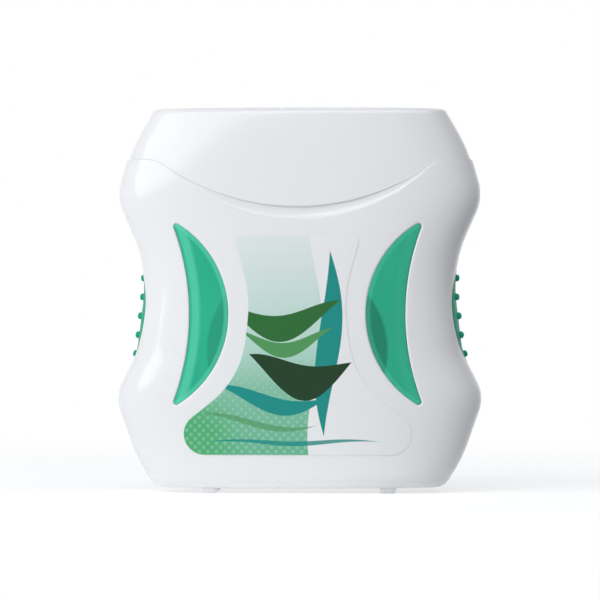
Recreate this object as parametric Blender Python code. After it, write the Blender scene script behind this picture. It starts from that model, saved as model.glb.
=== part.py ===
"""Pocket dental floss dispenser: an hourglass case with a flip lid, a spool and a steel cutter.

World frame: +Z up, +X to the right seen from the front, the front faces -Y.
The origin is on the ground under the middle of the case. Lengths are in metres.
"""

from math import acos, atan2, ceil, cos, hypot, pi, sin, sqrt, tan

import bmesh
import bpy
from mathutils import Matrix, Vector
from mathutils.geometry import interpolate_bezier

MM = 0.001

# Case: overall sizes
case_width = 55.0 * MM
case_height = 58.2 * MM
case_depth = 20.5 * MM
foot_height = 0.45 * MM
top_crown = 0.4 * MM
bottom_crown = 0.35 * MM
wall = 1.2 * MM
# Gap between two mouldings that meet
seam = 0.3 * MM
# The body stands this much prouder than the lid
lid_step = 0.2 * MM

# Case outline seen from the front, from the top corner down: share of half width, share of height
outline_shares = (
    (0.9310, 0.8930),
    (1.0090, 0.7655),
    (0.8370, 0.5834),
    (0.8950, 0.3625),
    (1.0155, 0.2490),
    (0.8950, 0.0883),
)
top_corner_share = 0.8080
bottom_corner_share = 0.7950
outline_fillets = (40.0 * MM, 7.0 * MM, 20.0 * MM, 8.6 * MM, 5.4 * MM, 35.0 * MM)
top_fillet = 1.2 * MM
bottom_fillet = 2.0 * MM
least_fillet = 0.25 * MM

# Plan section: a rounded rectangle whose sides bulge, deepest at the belly
section_power = 3.4
belly_height_share = 0.464
depth_loss_share = 0.205
crown_shares = (0.66, 0.33)
section_points = 36
arc_step = 0.31
round_step = 0.23
# Longest share of a side that a rounded corner may take
tangent_share = 0.49
# Edges that turn by more than this angle are shaded sharp
sharp_angle = 0.6
tiny = 1e-9

# Lid parting: a smile across the front, level round the sides and back
lid_height = 8.05 * MM
smile_drop = 7.2 * MM
smile_radius = 36.0 * MM
smile_end_radius = 6.0 * MM
smile_points = 20
smile_end_points = 4
smile_reach_share = 0.35
scoop_drop = 2.1 * MM
scoop_depth = 0.85 * MM
scoop_half_width = 19.5 * MM
scoop_hollow_share = 0.72
scoop_end_share = 0.985
scoop_points = 22

# Lid hinge: a barrel with two pegs between two ears
hinge_radius = 1.2 * MM
barrel_half_length = 7.0 * MM
ear_length = 3.0 * MM
peg_radius = 0.6 * MM
peg_length = 1.9 * MM
peg_gap = 0.22 * MM
hinge_sides = 16

# Crescent windows in the front
window_height = 27.0 * MM
window_middle_share = 0.462
window_margin = 7.8 * MM
window_width = 5.8 * MM
window_outer_radius = 36.4 * MM
window_tip_radius = 0.5 * MM
window_points = 14
window_tip_points = 4
# Lip behind the wall that holds a window or a grip
lip_width = 0.6 * MM
lip_thickness = 0.8 * MM
# Where the helpers that cut the front and the sides begin, seen from the middle
front_start_share = 0.2
side_start_share = 0.5

# Side grips
grip_middle_share = 0.457
grip_half_height = 7.2 * MM
grip_half_depth = 5.2 * MM
bump_radius = 0.5 * MM
bump_height = 0.55 * MM
bump_root = 0.4 * MM
bump_pitch = 2.865 * MM
bump_column = 2.4 * MM
bump_count = 5
# Bumps that each outer column has less than the middle one
bump_fewer = 2
bump_sides = 8
# Round top of a bump: share of its radius, share of its height
bump_round_shares = ((1.0, 0.5), (0.72, 0.88))

# Label on the front
label_thickness = 0.15 * MM
label_recess = 0.4 * MM
label_margin = 3.4 * MM
label_top_margin = 2.25 * MM
label_bottom_margin = 5.1 * MM
label_top_flare = 2.6 * MM
label_hip_flare = 1.5 * MM
label_bottom_flare = 16.0 * MM
label_waist_rise = 2.7 * MM
label_hip_drop = 9.7 * MM
label_waist_fillet = 20.0 * MM
label_hip_fillet = 14.0 * MM
label_top_fillet = 1.0 * MM
label_bottom_fillet = 3.3 * MM

# Spool, its post and its collar
spool_middle = 21.4 * MM
spool_radius = 13.6 * MM
spool_half_length = 6.0 * MM
spool_flange = 0.9 * MM
post_radius = 3.0 * MM
post_gap = 0.25 * MM
post_tip_share = 0.8
post_taper_share = 0.3
hub_wall = 1.5 * MM
collar_wall = 1.2 * MM
winding_radius = 12.5 * MM
winding_crown = 0.35 * MM
winding_flat_share = 0.5
spool_sides = 32

# Snap bosses in the corners of the case
boss_radius = 1.4 * MM
pin_radius = 0.75 * MM
pin_length = 2.6 * MM
pin_tip_share = 0.6
boss_rise = 7.0 * MM
boss_drop = 0.4 * MM
boss_sides = 12

# Feet under both shells
foot_spacing = 26.8 * MM
foot_width = 2.2 * MM
foot_length = 5.0 * MM
foot_offset = 4.0 * MM
foot_sink_share = 0.4

# Floss guide under the lid
guide_drop = 1.95 * MM
guide_gap = 0.55 * MM
guide_wall = 1.0 * MM
guide_plate = 1.2 * MM
nozzle_offset = 7.0 * MM
nozzle_radius = 2.1 * MM
nozzle_bore = 1.1 * MM
nozzle_height = 1.3 * MM
nozzle_shoulder_share = 0.6
nozzle_tip_share = 0.8
nozzle_sides = 20

# Steel cutter in a pocket of the guide
cutter_thickness = 0.35 * MM
cutter_length = 4.6 * MM
cutter_width = 6.0 * MM
cutter_rise = 3.4 * MM
cutter_offset = 4.0 * MM
notch_width = 1.3 * MM
notch_depth = 1.3 * MM
notch_mouth = 2.6 * MM
notch_point_share = 0.3
notch_flare_share = 0.4

# Floss
strand_radius = 0.3 * MM
strand_sides_resolution = 1
# Turns before the floss leaves the winding
lead_turns = (-0.5, -0.3, -0.1, 0.0)
# Height of the floss over the notch at the bend, past it, midway and in the notch
strand_lift_shares = (2.0, 2.6, 1.0, 0.8)
# Where the floss lies down behind the cutter's tongue, as shares of its length
strand_rest_shares = (0.4, 0.8)
strand_steps = 3
handle_share = 1 / 6

# How far a cutter reaches past what it cuts
overrun = 1.0 * MM
short_overrun = 0.1 * MM
# A body large enough to hold the whole case
reach = 40.0 * MM

# Worked out
half_width = case_width / 2
half_depth = case_depth / 2
belly_height = case_height * belly_height_share
parting_height = case_height - lid_height
window_middle = case_height * window_middle_share
grip_middle = case_height * grip_middle_share
floor_height = foot_height + bottom_crown


def paint(obj, name, colour, roughness, metallic=0.0, alpha=1.0):
    """Give a piece its own Principled material."""
    material = bpy.data.materials.new(name)
    material.use_nodes = True
    shader = material.node_tree.nodes["Principled BSDF"]
    shader.inputs["Base Color"].default_value = (*colour, 1.0)
    shader.inputs["Roughness"].default_value = roughness
    shader.inputs["Metallic"].default_value = metallic
    shader.inputs["Alpha"].default_value = alpha
    material.diffuse_color = (*colour, alpha)
    obj.data.materials.clear()
    obj.data.materials.append(material)


def add_object(name, data):
    """Link new data to the scene under a name."""
    obj = bpy.data.objects.new(name, data)
    bpy.context.collection.objects.link(obj)
    return obj


def mesh_object(name, verts, faces):
    """Make a mesh object from points and faces."""
    mesh = bpy.data.meshes.new(name)
    mesh.from_pydata([tuple(v) for v in verts], [], faces)
    mesh.update()
    return add_object(name, mesh)


def as_cutter(obj):
    """Mark a helper that only shapes other pieces."""
    obj.hide_render = True
    obj.display_type = "WIRE"
    return obj


def shape(target, tool, operation):
    """Cut, join or keep what is common with a helper body."""
    step = target.modifiers.new(tool.name, "BOOLEAN")
    step.operation = operation
    step.solver = "EXACT"
    step.object = as_cutter(tool)
    return target


def carry_tools(piece, space):
    """Let a moving piece take the helpers that shape it along when it turns."""
    bpy.context.view_layer.update()
    tools = [step.object for step in piece.modifiers]
    tools += [step.object for step in space.modifiers]
    for tool in tools:
        tool.parent = piece
        tool.matrix_parent_inverse = piece.matrix_world.inverted()


def smooth(obj):
    """Shade the round faces smooth and keep the edges sharp."""
    obj.data.shade_smooth()
    obj.data.set_sharp_from_angle(angle=sharp_angle)


# Outlines


def offset_outline(points, insets):
    """Move each side of an open outline to its right by its own inset and meet them again."""
    sides = []
    for (ax, az), (bx, bz), inset in zip(points, points[1:], insets):
        length = hypot(bx - ax, bz - az)
        nx, nz = (az - bz) / length, (bx - ax) / length
        sides.append((ax - nx * inset, az - nz * inset, bx - ax, bz - az))
    out = []
    for (px, pz, ux, uz), (qx, qz, vx, vz) in zip(sides, sides[1:]):
        t = ((qx - px) * vz - (qz - pz) * vx) / (ux * vz - uz * vx)
        out.append((px + ux * t, pz + uz * t))
    return out


def fillet(before, corner, after, radius):
    """Points of the arc that rounds a corner."""
    a, b, c = Vector(before), Vector(corner), Vector(after)
    u, v = (a - b).normalized(), (c - b).normalized()
    angle = acos(max(-1.0, min(1.0, u.dot(v))))
    tangent = radius / tan(angle / 2)
    room = tangent_share * min((a - b).length, (c - b).length)
    tangent = min(tangent, room)
    radius = tangent * tan(angle / 2)
    centre = b + (u + v).normalized() * (radius / sin(angle / 2))
    start = b + u * tangent - centre
    sweep = pi - angle
    turn = 1 if u.cross(v) < 0 else -1
    count = max(2, ceil(sweep / arc_step))
    first = atan2(start.y, start.x)
    steps = [first + turn * sweep * k / count for k in range(count + 1)]
    return [(centre.x + radius * cos(s), centre.y + radius * sin(s)) for s in steps]


def case_outline(inset=0.0, top_inset=None):
    """Rounded side of the case from the top edge to the bottom edge, as half width and height."""
    top_inset = inset if top_inset is None else top_inset
    top = case_height - top_crown
    bottom = floor_height
    corners = [(0.0, top), (half_width * top_corner_share, top)]
    corners += [(half_width * x, case_height * z) for x, z in outline_shares]
    corners += [(half_width * bottom_corner_share, bottom), (0.0, bottom)]
    insets = [top_inset] + [inset] * (len(corners) - 2)
    inner = offset_outline(corners, insets)
    inner = [(0.0, top - top_inset)] + inner + [(0.0, bottom + inset)]
    radii = [top_fillet] + list(outline_fillets) + [bottom_fillet]
    out = []
    for a, b, c, radius in zip(inner, inner[1:], inner[2:], radii):
        convex = (b[0] - a[0]) * (c[1] - b[1]) - (b[1] - a[1]) * (c[0] - b[0]) < 0
        radius = max(radius - inset, least_fillet) if convex else radius + inset
        out += fillet(a, b, c, radius)
    return out


def half_depth_at(z):
    """Half depth of the case at a height, before its edges are rounded."""
    rise = (z - belly_height) / (case_height / 2)
    return half_depth * (1 - depth_loss_share * rise * rise)


def edge_drop(z, edge, radius):
    """How far a rounded edge draws the front in near its top or bottom."""
    into = radius - abs(edge - z)
    return radius - sqrt(max(radius * radius - into * into, 0.0)) if into > 0 else 0.0


def case_rings(inset=0.0, top_inset=None):
    """Half width, half depth and height of each section, top to bottom."""
    outline = case_outline(inset, top_inset)
    top, bottom = outline[0][1], outline[-1][1]
    top_round = max(top_fillet - inset, least_fillet)
    bottom_round = max(bottom_fillet - inset, least_fillet)
    rings = []
    for width, z in outline:
        depth = half_depth_at(z) - inset
        depth -= edge_drop(z, top, top_round) + edge_drop(z, bottom, bottom_round)
        rings.append((width, depth, z))
    first, last = rings[0], rings[-1]
    for share in crown_shares:
        crown = 1 - share * share
        rings.insert(0, (first[0] * share, first[1] * share, first[2] + top_crown * crown))
        rings.append((last[0] * share, last[1] * share, last[2] - bottom_crown * crown))
    return rings


def half_width_at(z):
    """Half width of the case at a height on its side."""
    outline = case_outline()
    for (wa, za), (wb, zb) in zip(outline, outline[1:]):
        if zb <= z <= za and za > zb:
            return wb + (wa - wb) * (z - zb) / (za - zb)
    return half_width


def front_at(x, z, inset=0.0):
    """Distance of the front surface from the middle plane."""
    share = min(abs(x) / (half_width_at(z) - inset), 1.0)
    return (half_depth_at(z) - inset) * (1 - share**section_power) ** (1 / section_power)


def side_at(y, z):
    """Distance of the side surface from the middle plane."""
    share = min(abs(y) / half_depth_at(z), 1.0)
    return half_width_at(z) * (1 - share**section_power) ** (1 / section_power)


def case_form(name, inset=0.0, top_inset=None):
    """Closed pillow form of the case, drawn in by an inset."""
    rings = case_rings(inset, top_inset)
    count = section_points
    verts = []
    for width, depth, z in rings:
        for k in range(count):
            turn = 2 * pi * k / count
            c, s = cos(turn), sin(turn)
            x = width * abs(c) ** (2 / section_power) * (1 if c > 0 else -1)
            y = depth * abs(s) ** (2 / section_power) * (1 if s > 0 else -1)
            verts.append((x, y if abs(s) > tiny else 0.0, z))
    faces = []
    for i in range(len(rings) - 1):
        for k in range(count):
            a, b = i * count + k, i * count + (k + 1) % count
            faces += [(a, a + count, b + count), (a, b + count, b)]
    top, bottom = len(verts), len(verts) + 1
    crown_top = rings[2][2] + top_crown
    crown_bottom = rings[-3][2] - bottom_crown
    verts += [(0.0, 0.0, crown_top), (0.0, 0.0, crown_bottom)]
    last = (len(rings) - 1) * count
    for k in range(count):
        following = (k + 1) % count
        faces.append((top, k, following))
        faces.append((bottom, last + following, last + k))
    return mesh_object(name, verts, faces)


# Plain helper bodies


def box(name, low, high):
    """Closed box between two corners."""
    bm = bmesh.new()
    bmesh.ops.create_cube(bm, size=1.0)
    low, high = Vector(low), Vector(high)
    for vert in bm.verts:
        vert.co = Vector(a + (b - a) * (c + 0.5) for a, b, c in zip(low, high, vert.co))
    mesh = bpy.data.meshes.new(name)
    bm.to_mesh(mesh)
    bm.free()
    return add_object(name, mesh)


def prism(name, outline, start, end, axis):
    """Closed prism of an outline, extruded along Y (outline in X, Z) or X (outline in Y, Z)."""
    bm = bmesh.new()
    if axis == "Y":
        verts = [bm.verts.new((a, start, b)) for a, b in outline]
        travel = Vector((0, end - start, 0))
    else:
        verts = [bm.verts.new((start, a, b)) for a, b in outline]
        travel = Vector((end - start, 0, 0))
    face = bm.faces.new(verts)
    swept = bmesh.ops.extrude_face_region(bm, geom=[face])
    moved = [v for v in swept["geom"] if isinstance(v, bmesh.types.BMVert)]
    bmesh.ops.translate(bm, verts=moved, vec=travel)
    bmesh.ops.recalc_face_normals(bm, faces=bm.faces)
    mesh = bpy.data.meshes.new(name)
    bm.to_mesh(mesh)
    bm.free()
    return add_object(name, mesh)


def turned(bm, profile, sides, place):
    """Turn a closed profile of radius and height about its axis and put it in place."""
    rings = []
    for radius, height in profile:
        if radius == 0:
            rings.append([bm.verts.new(place @ Vector((0, 0, height)))])
            continue
        ring = []
        for k in range(sides):
            turn = 2 * pi * (k + 0.5) / sides
            point = Vector((radius * cos(turn), radius * sin(turn), height))
            ring.append(bm.verts.new(place @ point))
        rings.append(ring)
    closed = profile[0][0] > 0
    pairs = list(zip(rings, rings[1:])) + ([(rings[-1], rings[0])] if closed else [])
    faces = []
    for upper, lower in pairs:
        for k in range(sides):
            n = (k + 1) % sides
            if len(upper) == 1:
                corners = (upper[0], lower[k], lower[n])
            elif len(lower) == 1:
                corners = (upper[n], upper[k], lower[0])
            else:
                corners = (upper[k], lower[k], lower[n], upper[n])
            faces.append(bm.faces.new(corners))
    bmesh.ops.recalc_face_normals(bm, faces=faces)


def turned_object(name, pieces):
    """Object of one or more turned bodies: profile, sides and place of each."""
    bm = bmesh.new()
    for profile, sides, place in pieces:
        turned(bm, profile, sides, place)
    mesh = bpy.data.meshes.new(name)
    bm.to_mesh(mesh)
    bm.free()
    return add_object(name, mesh)


def along_y(x, z):
    """Place that lays a turned body's axis along +Y."""
    return Matrix.Translation((x, 0, z)) @ Matrix.Rotation(-pi / 2, 4, "X")


def along_x(y, z):
    """Place that lays a turned body's axis along +X."""
    return Matrix.Translation((0, y, z)) @ Matrix.Rotation(pi / 2, 4, "Y")


# Lid parting


def smile_line(drop=0.0):
    """Lower edge of the lid across the front, left to right, moved down by a drop."""
    high = smile_drop + short_overrun
    swing = acos(1 - high / (smile_radius + smile_end_radius))
    low = parting_height - smile_drop
    half = []
    for k in range(smile_points // 2 + 1):
        turn = swing * k / (smile_points // 2)
        half.append((smile_radius * sin(turn), low + smile_radius * (1 - cos(turn))))
    end_x = (smile_radius + smile_end_radius) * sin(swing)
    end_z = low + high
    for k in range(1, smile_end_points + 1):
        turn = swing * (1 - k / smile_end_points)
        half.append((end_x - smile_end_radius * sin(turn), end_z - smile_end_radius * (1 - cos(turn))))
    line = [(-x, z) for x, z in reversed(half[1:])] + half
    return [(x, z - drop) for x, z in line]


def smile_height(x):
    """Height of the lid's lower edge on the smile arc."""
    return parting_height - smile_drop + smile_radius - sqrt(smile_radius**2 - x * x)


def lid_space(name, drop):
    """Everything above the parting, moved down by a drop."""
    level = parting_height - drop
    space = box(name, (-reach, -reach, level), (reach, reach, case_height + reach))
    line = smile_line(drop)
    outline = line + [(line[-1][0], level + overrun), (line[0][0], level + overrun)]
    front = prism(name + "_smile", outline, -reach, -half_depth * smile_reach_share, "Y")
    return shape(space, front, "UNION")


def scoop_cutter():
    """Hollow for the thumb under the lid's front edge, tapering out to both sides."""
    low_middle = parting_height - smile_drop - scoop_drop
    rise = smile_height(scoop_half_width) - low_middle
    radius = (scoop_half_width**2 + rise**2) / (2 * rise)
    count = scoop_points
    verts = []
    for k in range(count + 1):
        x = scoop_half_width * scoop_end_share * (2 * k / count - 1)
        low = low_middle + radius - sqrt(radius * radius - x * x)
        edge = smile_height(x)
        depth = scoop_depth * (edge - low) / scoop_drop
        middle = low + (edge - low) / 2
        high = edge + overrun
        verts += [
            (x, -front_at(x, low), low),
            (x, -front_at(x, middle) + depth * scoop_hollow_share, middle),
            (x, -front_at(x, edge) + depth, edge),
            (x, -front_at(x, edge) + depth, high),
            (x, -reach, high),
            (x, -reach, low),
        ]
    faces = []
    for k in range(count):
        for n in range(6):
            a, b = k * 6 + n, k * 6 + (n + 1) % 6
            faces += [(a, a + 6, b + 6), (a, b + 6, b)]
    faces += [tuple(range(6)), tuple(reversed(range(count * 6, count * 6 + 6)))]
    cutter = mesh_object("cut_scoop", verts, faces)
    turn_outward(cutter)
    return cutter


def turn_outward(obj):
    """Make a closed mesh's faces point out."""
    bm = bmesh.new()
    bm.from_mesh(obj.data)
    bmesh.ops.recalc_face_normals(bm, faces=bm.faces)
    bm.to_mesh(obj.data)
    bm.free()


# Crescent windows


def window_sizes():
    """Reach of both sides from the middle plane, and the middle of the round tip."""
    outer = half_width_at(window_middle) - window_margin
    tip_z = window_height / 2 - window_tip_radius
    sweep = window_outer_radius + window_tip_radius
    tip_x = outer + window_outer_radius - sqrt(sweep * sweep - tip_z * tip_z)
    return outer, outer - window_width, tip_x, tip_z


def crescent(side, grow):
    """Outline of a crescent window on one side (+1 or -1), grown by a margin."""
    outer, inner, tip_x, tip_z = window_sizes()
    room = tip_x - inner
    inner_radius = (room**2 + tip_z**2 - window_tip_radius**2) / (2 * (room - window_tip_radius))
    inner_centre = inner + inner_radius
    outer_centre = outer + window_outer_radius
    inner_end = atan2(tip_z, inner_centre - tip_x)
    outer_end = atan2(tip_z, outer_centre - tip_x)
    big, small = inner_radius + grow, window_outer_radius - grow
    left, right = [], []
    for k in range(window_points + 1):
        share = 2 * k / window_points - 1
        turn, lean = inner_end * share, outer_end * share
        left.append((inner_centre - big * cos(turn), big * sin(turn)))
        right.append((outer_centre - small * cos(lean), small * sin(lean)))
    tip_radius = window_tip_radius + grow
    first = pi - inner_end
    sweep = first + outer_end
    cap = []
    for k in range(1, window_tip_points):
        turn = first - sweep * k / window_tip_points
        cap.append((tip_x + tip_radius * cos(turn), tip_z + tip_radius * sin(turn)))
    bottom = [(x, -z) for x, z in cap]
    loop = left + cap + list(reversed(right)) + list(reversed(bottom))
    return [(side * x, window_middle + z) for x, z in loop]


def ellipse(half_a, half_b, middle):
    """Outline of an ellipse round a height on the side."""
    count = 4 * ceil(pi / 2 / round_step)
    turns = [2 * pi * (k + 0.5) / count for k in range(count)]
    return [(half_a * cos(t), middle + half_b * sin(t)) for t in turns]


def inlay(name, plug, backing, forms):
    """Piece that fills a hole in the wall, flush outside, with a lip behind the wall."""
    piece = case_form(name)
    shape(piece, plug, "INTERSECT")
    lip = case_form(name + "_lip", wall + seam)
    shape(lip, backing, "INTERSECT")
    shape(piece, lip, "UNION")
    shape(piece, forms["inlay_back"], "DIFFERENCE")
    return piece


def make_window(side, word, forms):
    """Translucent crescent window."""
    near = -half_depth * front_start_share
    plug = prism("cut_window_plug_" + word, crescent(side, -seam), -reach, near, "Y")
    lip = prism("cut_window_lip_" + word, crescent(side, lip_width), -reach, near, "Y")
    window = inlay("window_" + word, plug, lip, forms)
    paint(window, "green_tint_" + word, (0.03, 0.47, 0.29), 0.08, alpha=0.8)
    smooth(window)
    return window


def bump_places():
    """Places of the grip's bumps: a column down the middle, a shorter one each side of it."""
    places = []
    for column in (-1, 0, 1):
        count = bump_count if column == 0 else bump_count - bump_fewer
        for k in range(count):
            z = grip_middle + bump_pitch * (k - (count - 1) / 2)
            places.append((column * bump_column, z))
    return places


def make_grip(side, word, forms):
    """Soft pad in the side of the case, with raised bumps."""
    near, far = side * half_width * side_start_share, side * reach
    plug_line = ellipse(grip_half_depth - seam, grip_half_height - seam, grip_middle)
    lip_line = ellipse(grip_half_depth + lip_width, grip_half_height + lip_width, grip_middle)
    plug = prism("cut_grip_plug_" + word, plug_line, near, far, "X")
    lip = prism("cut_grip_lip_" + word, lip_line, near, far, "X")
    grip = inlay("grip_" + word, plug, lip, forms)
    profile = [(0, -bump_root), (bump_radius, -bump_root)]
    profile += [(bump_radius * wide, bump_height * tall) for wide, tall in bump_round_shares]
    profile.append((0, bump_height))
    bumps = []
    for y, z in bump_places():
        foot = Matrix.Translation((side * side_at(y, z), y, z))
        bumps.append((profile, bump_sides, foot @ Matrix.Rotation(side * pi / 2, 4, "Y")))
    shape(grip, turned_object("add_bumps_" + word, bumps), "UNION")
    paint(grip, "green_rubber_" + word, (0.04, 0.45, 0.29), 0.45)
    smooth(grip)
    return grip


# Label


def label_outline(grow):
    """Die-cut outline of the label: a waist between the windows, spreading below them."""
    _, inner, _, _ = window_sizes()
    waist = inner - label_margin
    top = parting_height - smile_drop - scoop_drop - label_top_margin
    bottom = floor_height + label_bottom_margin
    right = [
        (0.0, top),
        (waist + label_top_flare, top),
        (waist, window_middle + label_waist_rise),
        (waist + label_hip_flare, window_middle - label_hip_drop),
        (waist + label_bottom_flare, bottom),
        (0.0, bottom),
    ]
    radii = (
        label_top_fillet + grow,
        label_waist_fillet - grow,
        label_hip_fillet - grow,
        label_bottom_fillet + grow,
    )
    corners = offset_outline(right, [-grow] * (len(right) - 1))
    right = [(0.0, top + grow)] + corners + [(0.0, bottom - grow)]
    half = []
    for a, b, c, radius in zip(right, right[1:], right[2:], radii):
        half += fillet(a, b, c, radius)
    return half + [(-x, z) for x, z in reversed(half)]


def make_label():
    """Thin printed label that follows the front."""
    label = case_form("front_label")
    shape(label, case_form("cut_label_back", label_thickness), "DIFFERENCE")
    near = -half_depth * front_start_share
    shape(label, prism("cut_label_edge", label_outline(0.0), -reach, near, "Y"), "INTERSECT")
    paint(label, "label_print", (0.60, 0.82, 0.70), 0.3)
    smooth(label)
    return label


# Case shells


def boss_places():
    """Places of the snap bosses, two beside the windows' upper tips and two near the floor."""
    _, _, tip, _ = window_sizes()
    x = tip + window_tip_radius + lip_width + seam + boss_radius
    high = window_middle + window_height / 2 - boss_drop
    low = foot_height + boss_rise
    return [(side * x, z) for side in (-1, 1) for z in (high, low)]


def spool_bore():
    """Radius of the spool's bore round the post."""
    return post_radius + post_gap


def foot_boxes(name, side):
    """Two foot ribs under one shell; side is -1 for the front and +1 for the rear."""
    bm = bmesh.new()
    top = floor_height + wall * foot_sink_share
    for x in (-foot_spacing / 2, foot_spacing / 2):
        centre = Vector((x, side * foot_offset, top / 2))
        place = Matrix.Translation(centre) @ Matrix.Diagonal((foot_width, foot_length, top, 1))
        bmesh.ops.create_cube(bm, size=1.0, matrix=place)
    mesh = bpy.data.meshes.new(name)
    bm.to_mesh(mesh)
    bm.free()
    return add_object(name, mesh)


def make_front_shell(forms):
    """Front half of the case with its scoop, windows' holes, label recess and bosses."""
    shell = case_form("front_shell")
    shape(shell, forms["cavity"], "DIFFERENCE")
    back = box("cut_rear_half", (-reach, -seam / 2, -reach), (reach, reach, 2 * reach))
    shape(shell, back, "DIFFERENCE")
    shape(shell, forms["above_body"], "DIFFERENCE")
    shape(shell, scoop_cutter(), "DIFFERENCE")
    near = -half_depth * front_start_share
    for side, word in ((-1, "left"), (1, "right")):
        hole = prism("cut_window_" + word, crescent(side, 0.0), -reach, near, "Y")
        shape(shell, hole, "DIFFERENCE")
        shape(shell, forms["grip_hole_" + word], "DIFFERENCE")
    recess = prism("cut_label_recess", label_outline(seam), -reach, near, "Y")
    shape(recess, case_form("keep_under_label", label_recess), "DIFFERENCE")
    shape(shell, recess, "DIFFERENCE")
    collar_end = -spool_half_length - seam
    bore = spool_bore()
    collar = [
        (bore, -reach),
        (bore + collar_wall, -reach),
        (bore + collar_wall, collar_end),
        (bore, collar_end),
    ]
    pieces = [(collar, spool_sides, along_y(0, spool_middle))]
    hole_end = -seam / 2 - pin_length - seam
    boss = [
        (0, -reach),
        (boss_radius, -reach),
        (boss_radius, -seam / 2),
        (pin_radius + post_gap, -seam / 2),
        (pin_radius + post_gap, hole_end),
        (0, hole_end),
    ]
    pieces += [(boss, boss_sides, along_y(x, z)) for x, z in boss_places()]
    bosses = turned_object("add_front_bosses", pieces)
    shape(bosses, forms["wall_middle"], "INTERSECT")
    shape(shell, bosses, "UNION")
    shape(shell, foot_boxes("add_front_feet", -1), "UNION")
    paint(shell, "white_gloss_front", (0.86, 0.87, 0.89), 0.15)
    smooth(shell)
    return shell


def hinge_y():
    """Depth of the hinge line: on the body's rear surface."""
    return half_depth_at(parting_height)


def make_rear_shell(forms):
    """Rear half of the case with the spool's post, snap pins and hinge ears."""
    shell = case_form("rear_shell")
    shape(shell, forms["cavity"], "DIFFERENCE")
    front = box("cut_front_half", (-reach, -reach, -reach), (reach, seam / 2, 2 * reach))
    shape(shell, front, "DIFFERENCE")
    shape(shell, forms["above_body"], "DIFFERENCE")
    for word in ("left", "right"):
        shape(shell, forms["grip_hole_" + word], "DIFFERENCE")
    shoulder = spool_half_length + seam
    tip = -spool_half_length - seam - wall
    post = [
        (0, tip),
        (post_radius * post_tip_share, tip),
        (post_radius, tip + post_radius * post_taper_share),
        (post_radius, shoulder),
        (spool_bore() + collar_wall, shoulder),
        (spool_bore() + collar_wall, reach),
        (0, reach),
    ]
    pieces = [(post, spool_sides, along_y(0, spool_middle))]
    pin = [
        (0, -pin_length),
        (pin_radius * pin_tip_share, -pin_length),
        (pin_radius, -pin_length + pin_radius * pin_tip_share),
        (pin_radius, seam / 2),
        (boss_radius, seam / 2),
        (boss_radius, reach),
        (0, reach),
    ]
    pieces += [(pin, boss_sides, along_y(x, z)) for x, z in boss_places()]
    bosses = turned_object("add_rear_bosses", pieces)
    shape(bosses, forms["wall_middle"], "INTERSECT")
    shape(shell, bosses, "UNION")
    shape(shell, foot_boxes("add_rear_feet", 1), "UNION")
    line = along_x(hinge_y(), parting_height)
    inner = barrel_half_length
    outer = inner + seam + ear_length
    ears = []
    for side in (-1, 1):
        ends = sorted((side * inner, side * outer))
        ear = [(0, ends[0]), (hinge_radius, ends[0]), (hinge_radius, ends[1]), (0, ends[1])]
        ears.append((ear, hinge_sides, line))
    shape(shell, turned_object("add_ears", ears), "UNION")
    swing = hinge_radius + seam
    room = inner + seam
    depth = inner + peg_length + seam
    socket_radius = peg_radius + peg_gap
    notch = [
        (0, -depth),
        (socket_radius, -depth),
        (socket_radius, -room),
        (swing, -room),
        (swing, room),
        (socket_radius, room),
        (socket_radius, depth),
        (0, depth),
    ]
    shape(shell, turned_object("cut_barrel_room", [(notch, hinge_sides, line)]), "DIFFERENCE")
    paint(shell, "white_gloss_rear", (0.84, 0.85, 0.87), 0.15)
    smooth(shell)
    return shell


def make_lid(forms):
    """Flip lid: a hollow cap with a smiling front edge, a hinge barrel and two pegs."""
    lid = case_form("lid", lid_step, 0.0)
    shape(lid, case_form("cut_lid_inside", lid_step + wall, wall), "DIFFERENCE")
    shape(lid, forms["above_lid"], "INTERSECT")
    line = along_x(hinge_y(), parting_height)
    inner = barrel_half_length
    swing = hinge_radius + seam
    outer = inner + seam + ear_length + seam
    start = inner - seam / 2
    rooms = []
    for side in (-1, 1):
        ends = sorted((side * start, side * outer))
        room = [(0, ends[0]), (swing, ends[0]), (swing, ends[1]), (0, ends[1])]
        rooms.append((room, hinge_sides, line))
    shape(lid, turned_object("cut_ear_rooms", rooms), "DIFFERENCE")
    end = inner + peg_length
    barrel = [
        (0, -end),
        (peg_radius, -end),
        (peg_radius, -inner),
        (hinge_radius, -inner),
        (hinge_radius, inner),
        (peg_radius, inner),
        (peg_radius, end),
        (0, end),
    ]
    shape(lid, turned_object("add_barrel", [(barrel, hinge_sides, line)]), "UNION")
    shift = Vector((0, hinge_y(), parting_height))
    lid.data.transform(Matrix.Translation(-shift))
    lid.location = shift
    carry_tools(lid, forms["above_lid"])
    paint(lid, "white_gloss_lid", (0.87, 0.88, 0.90), 0.15)
    smooth(lid)
    return lid


# Floss guide and cutter


def guide_heights():
    """Bottom and top of the floss guide."""
    window_lip = window_middle + window_height / 2 + 2 * lip_width
    boss_top = max(z for _, z in boss_places()) + boss_radius
    bottom = max(window_lip, boss_top) + seam
    return bottom, parting_height - guide_drop


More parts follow.
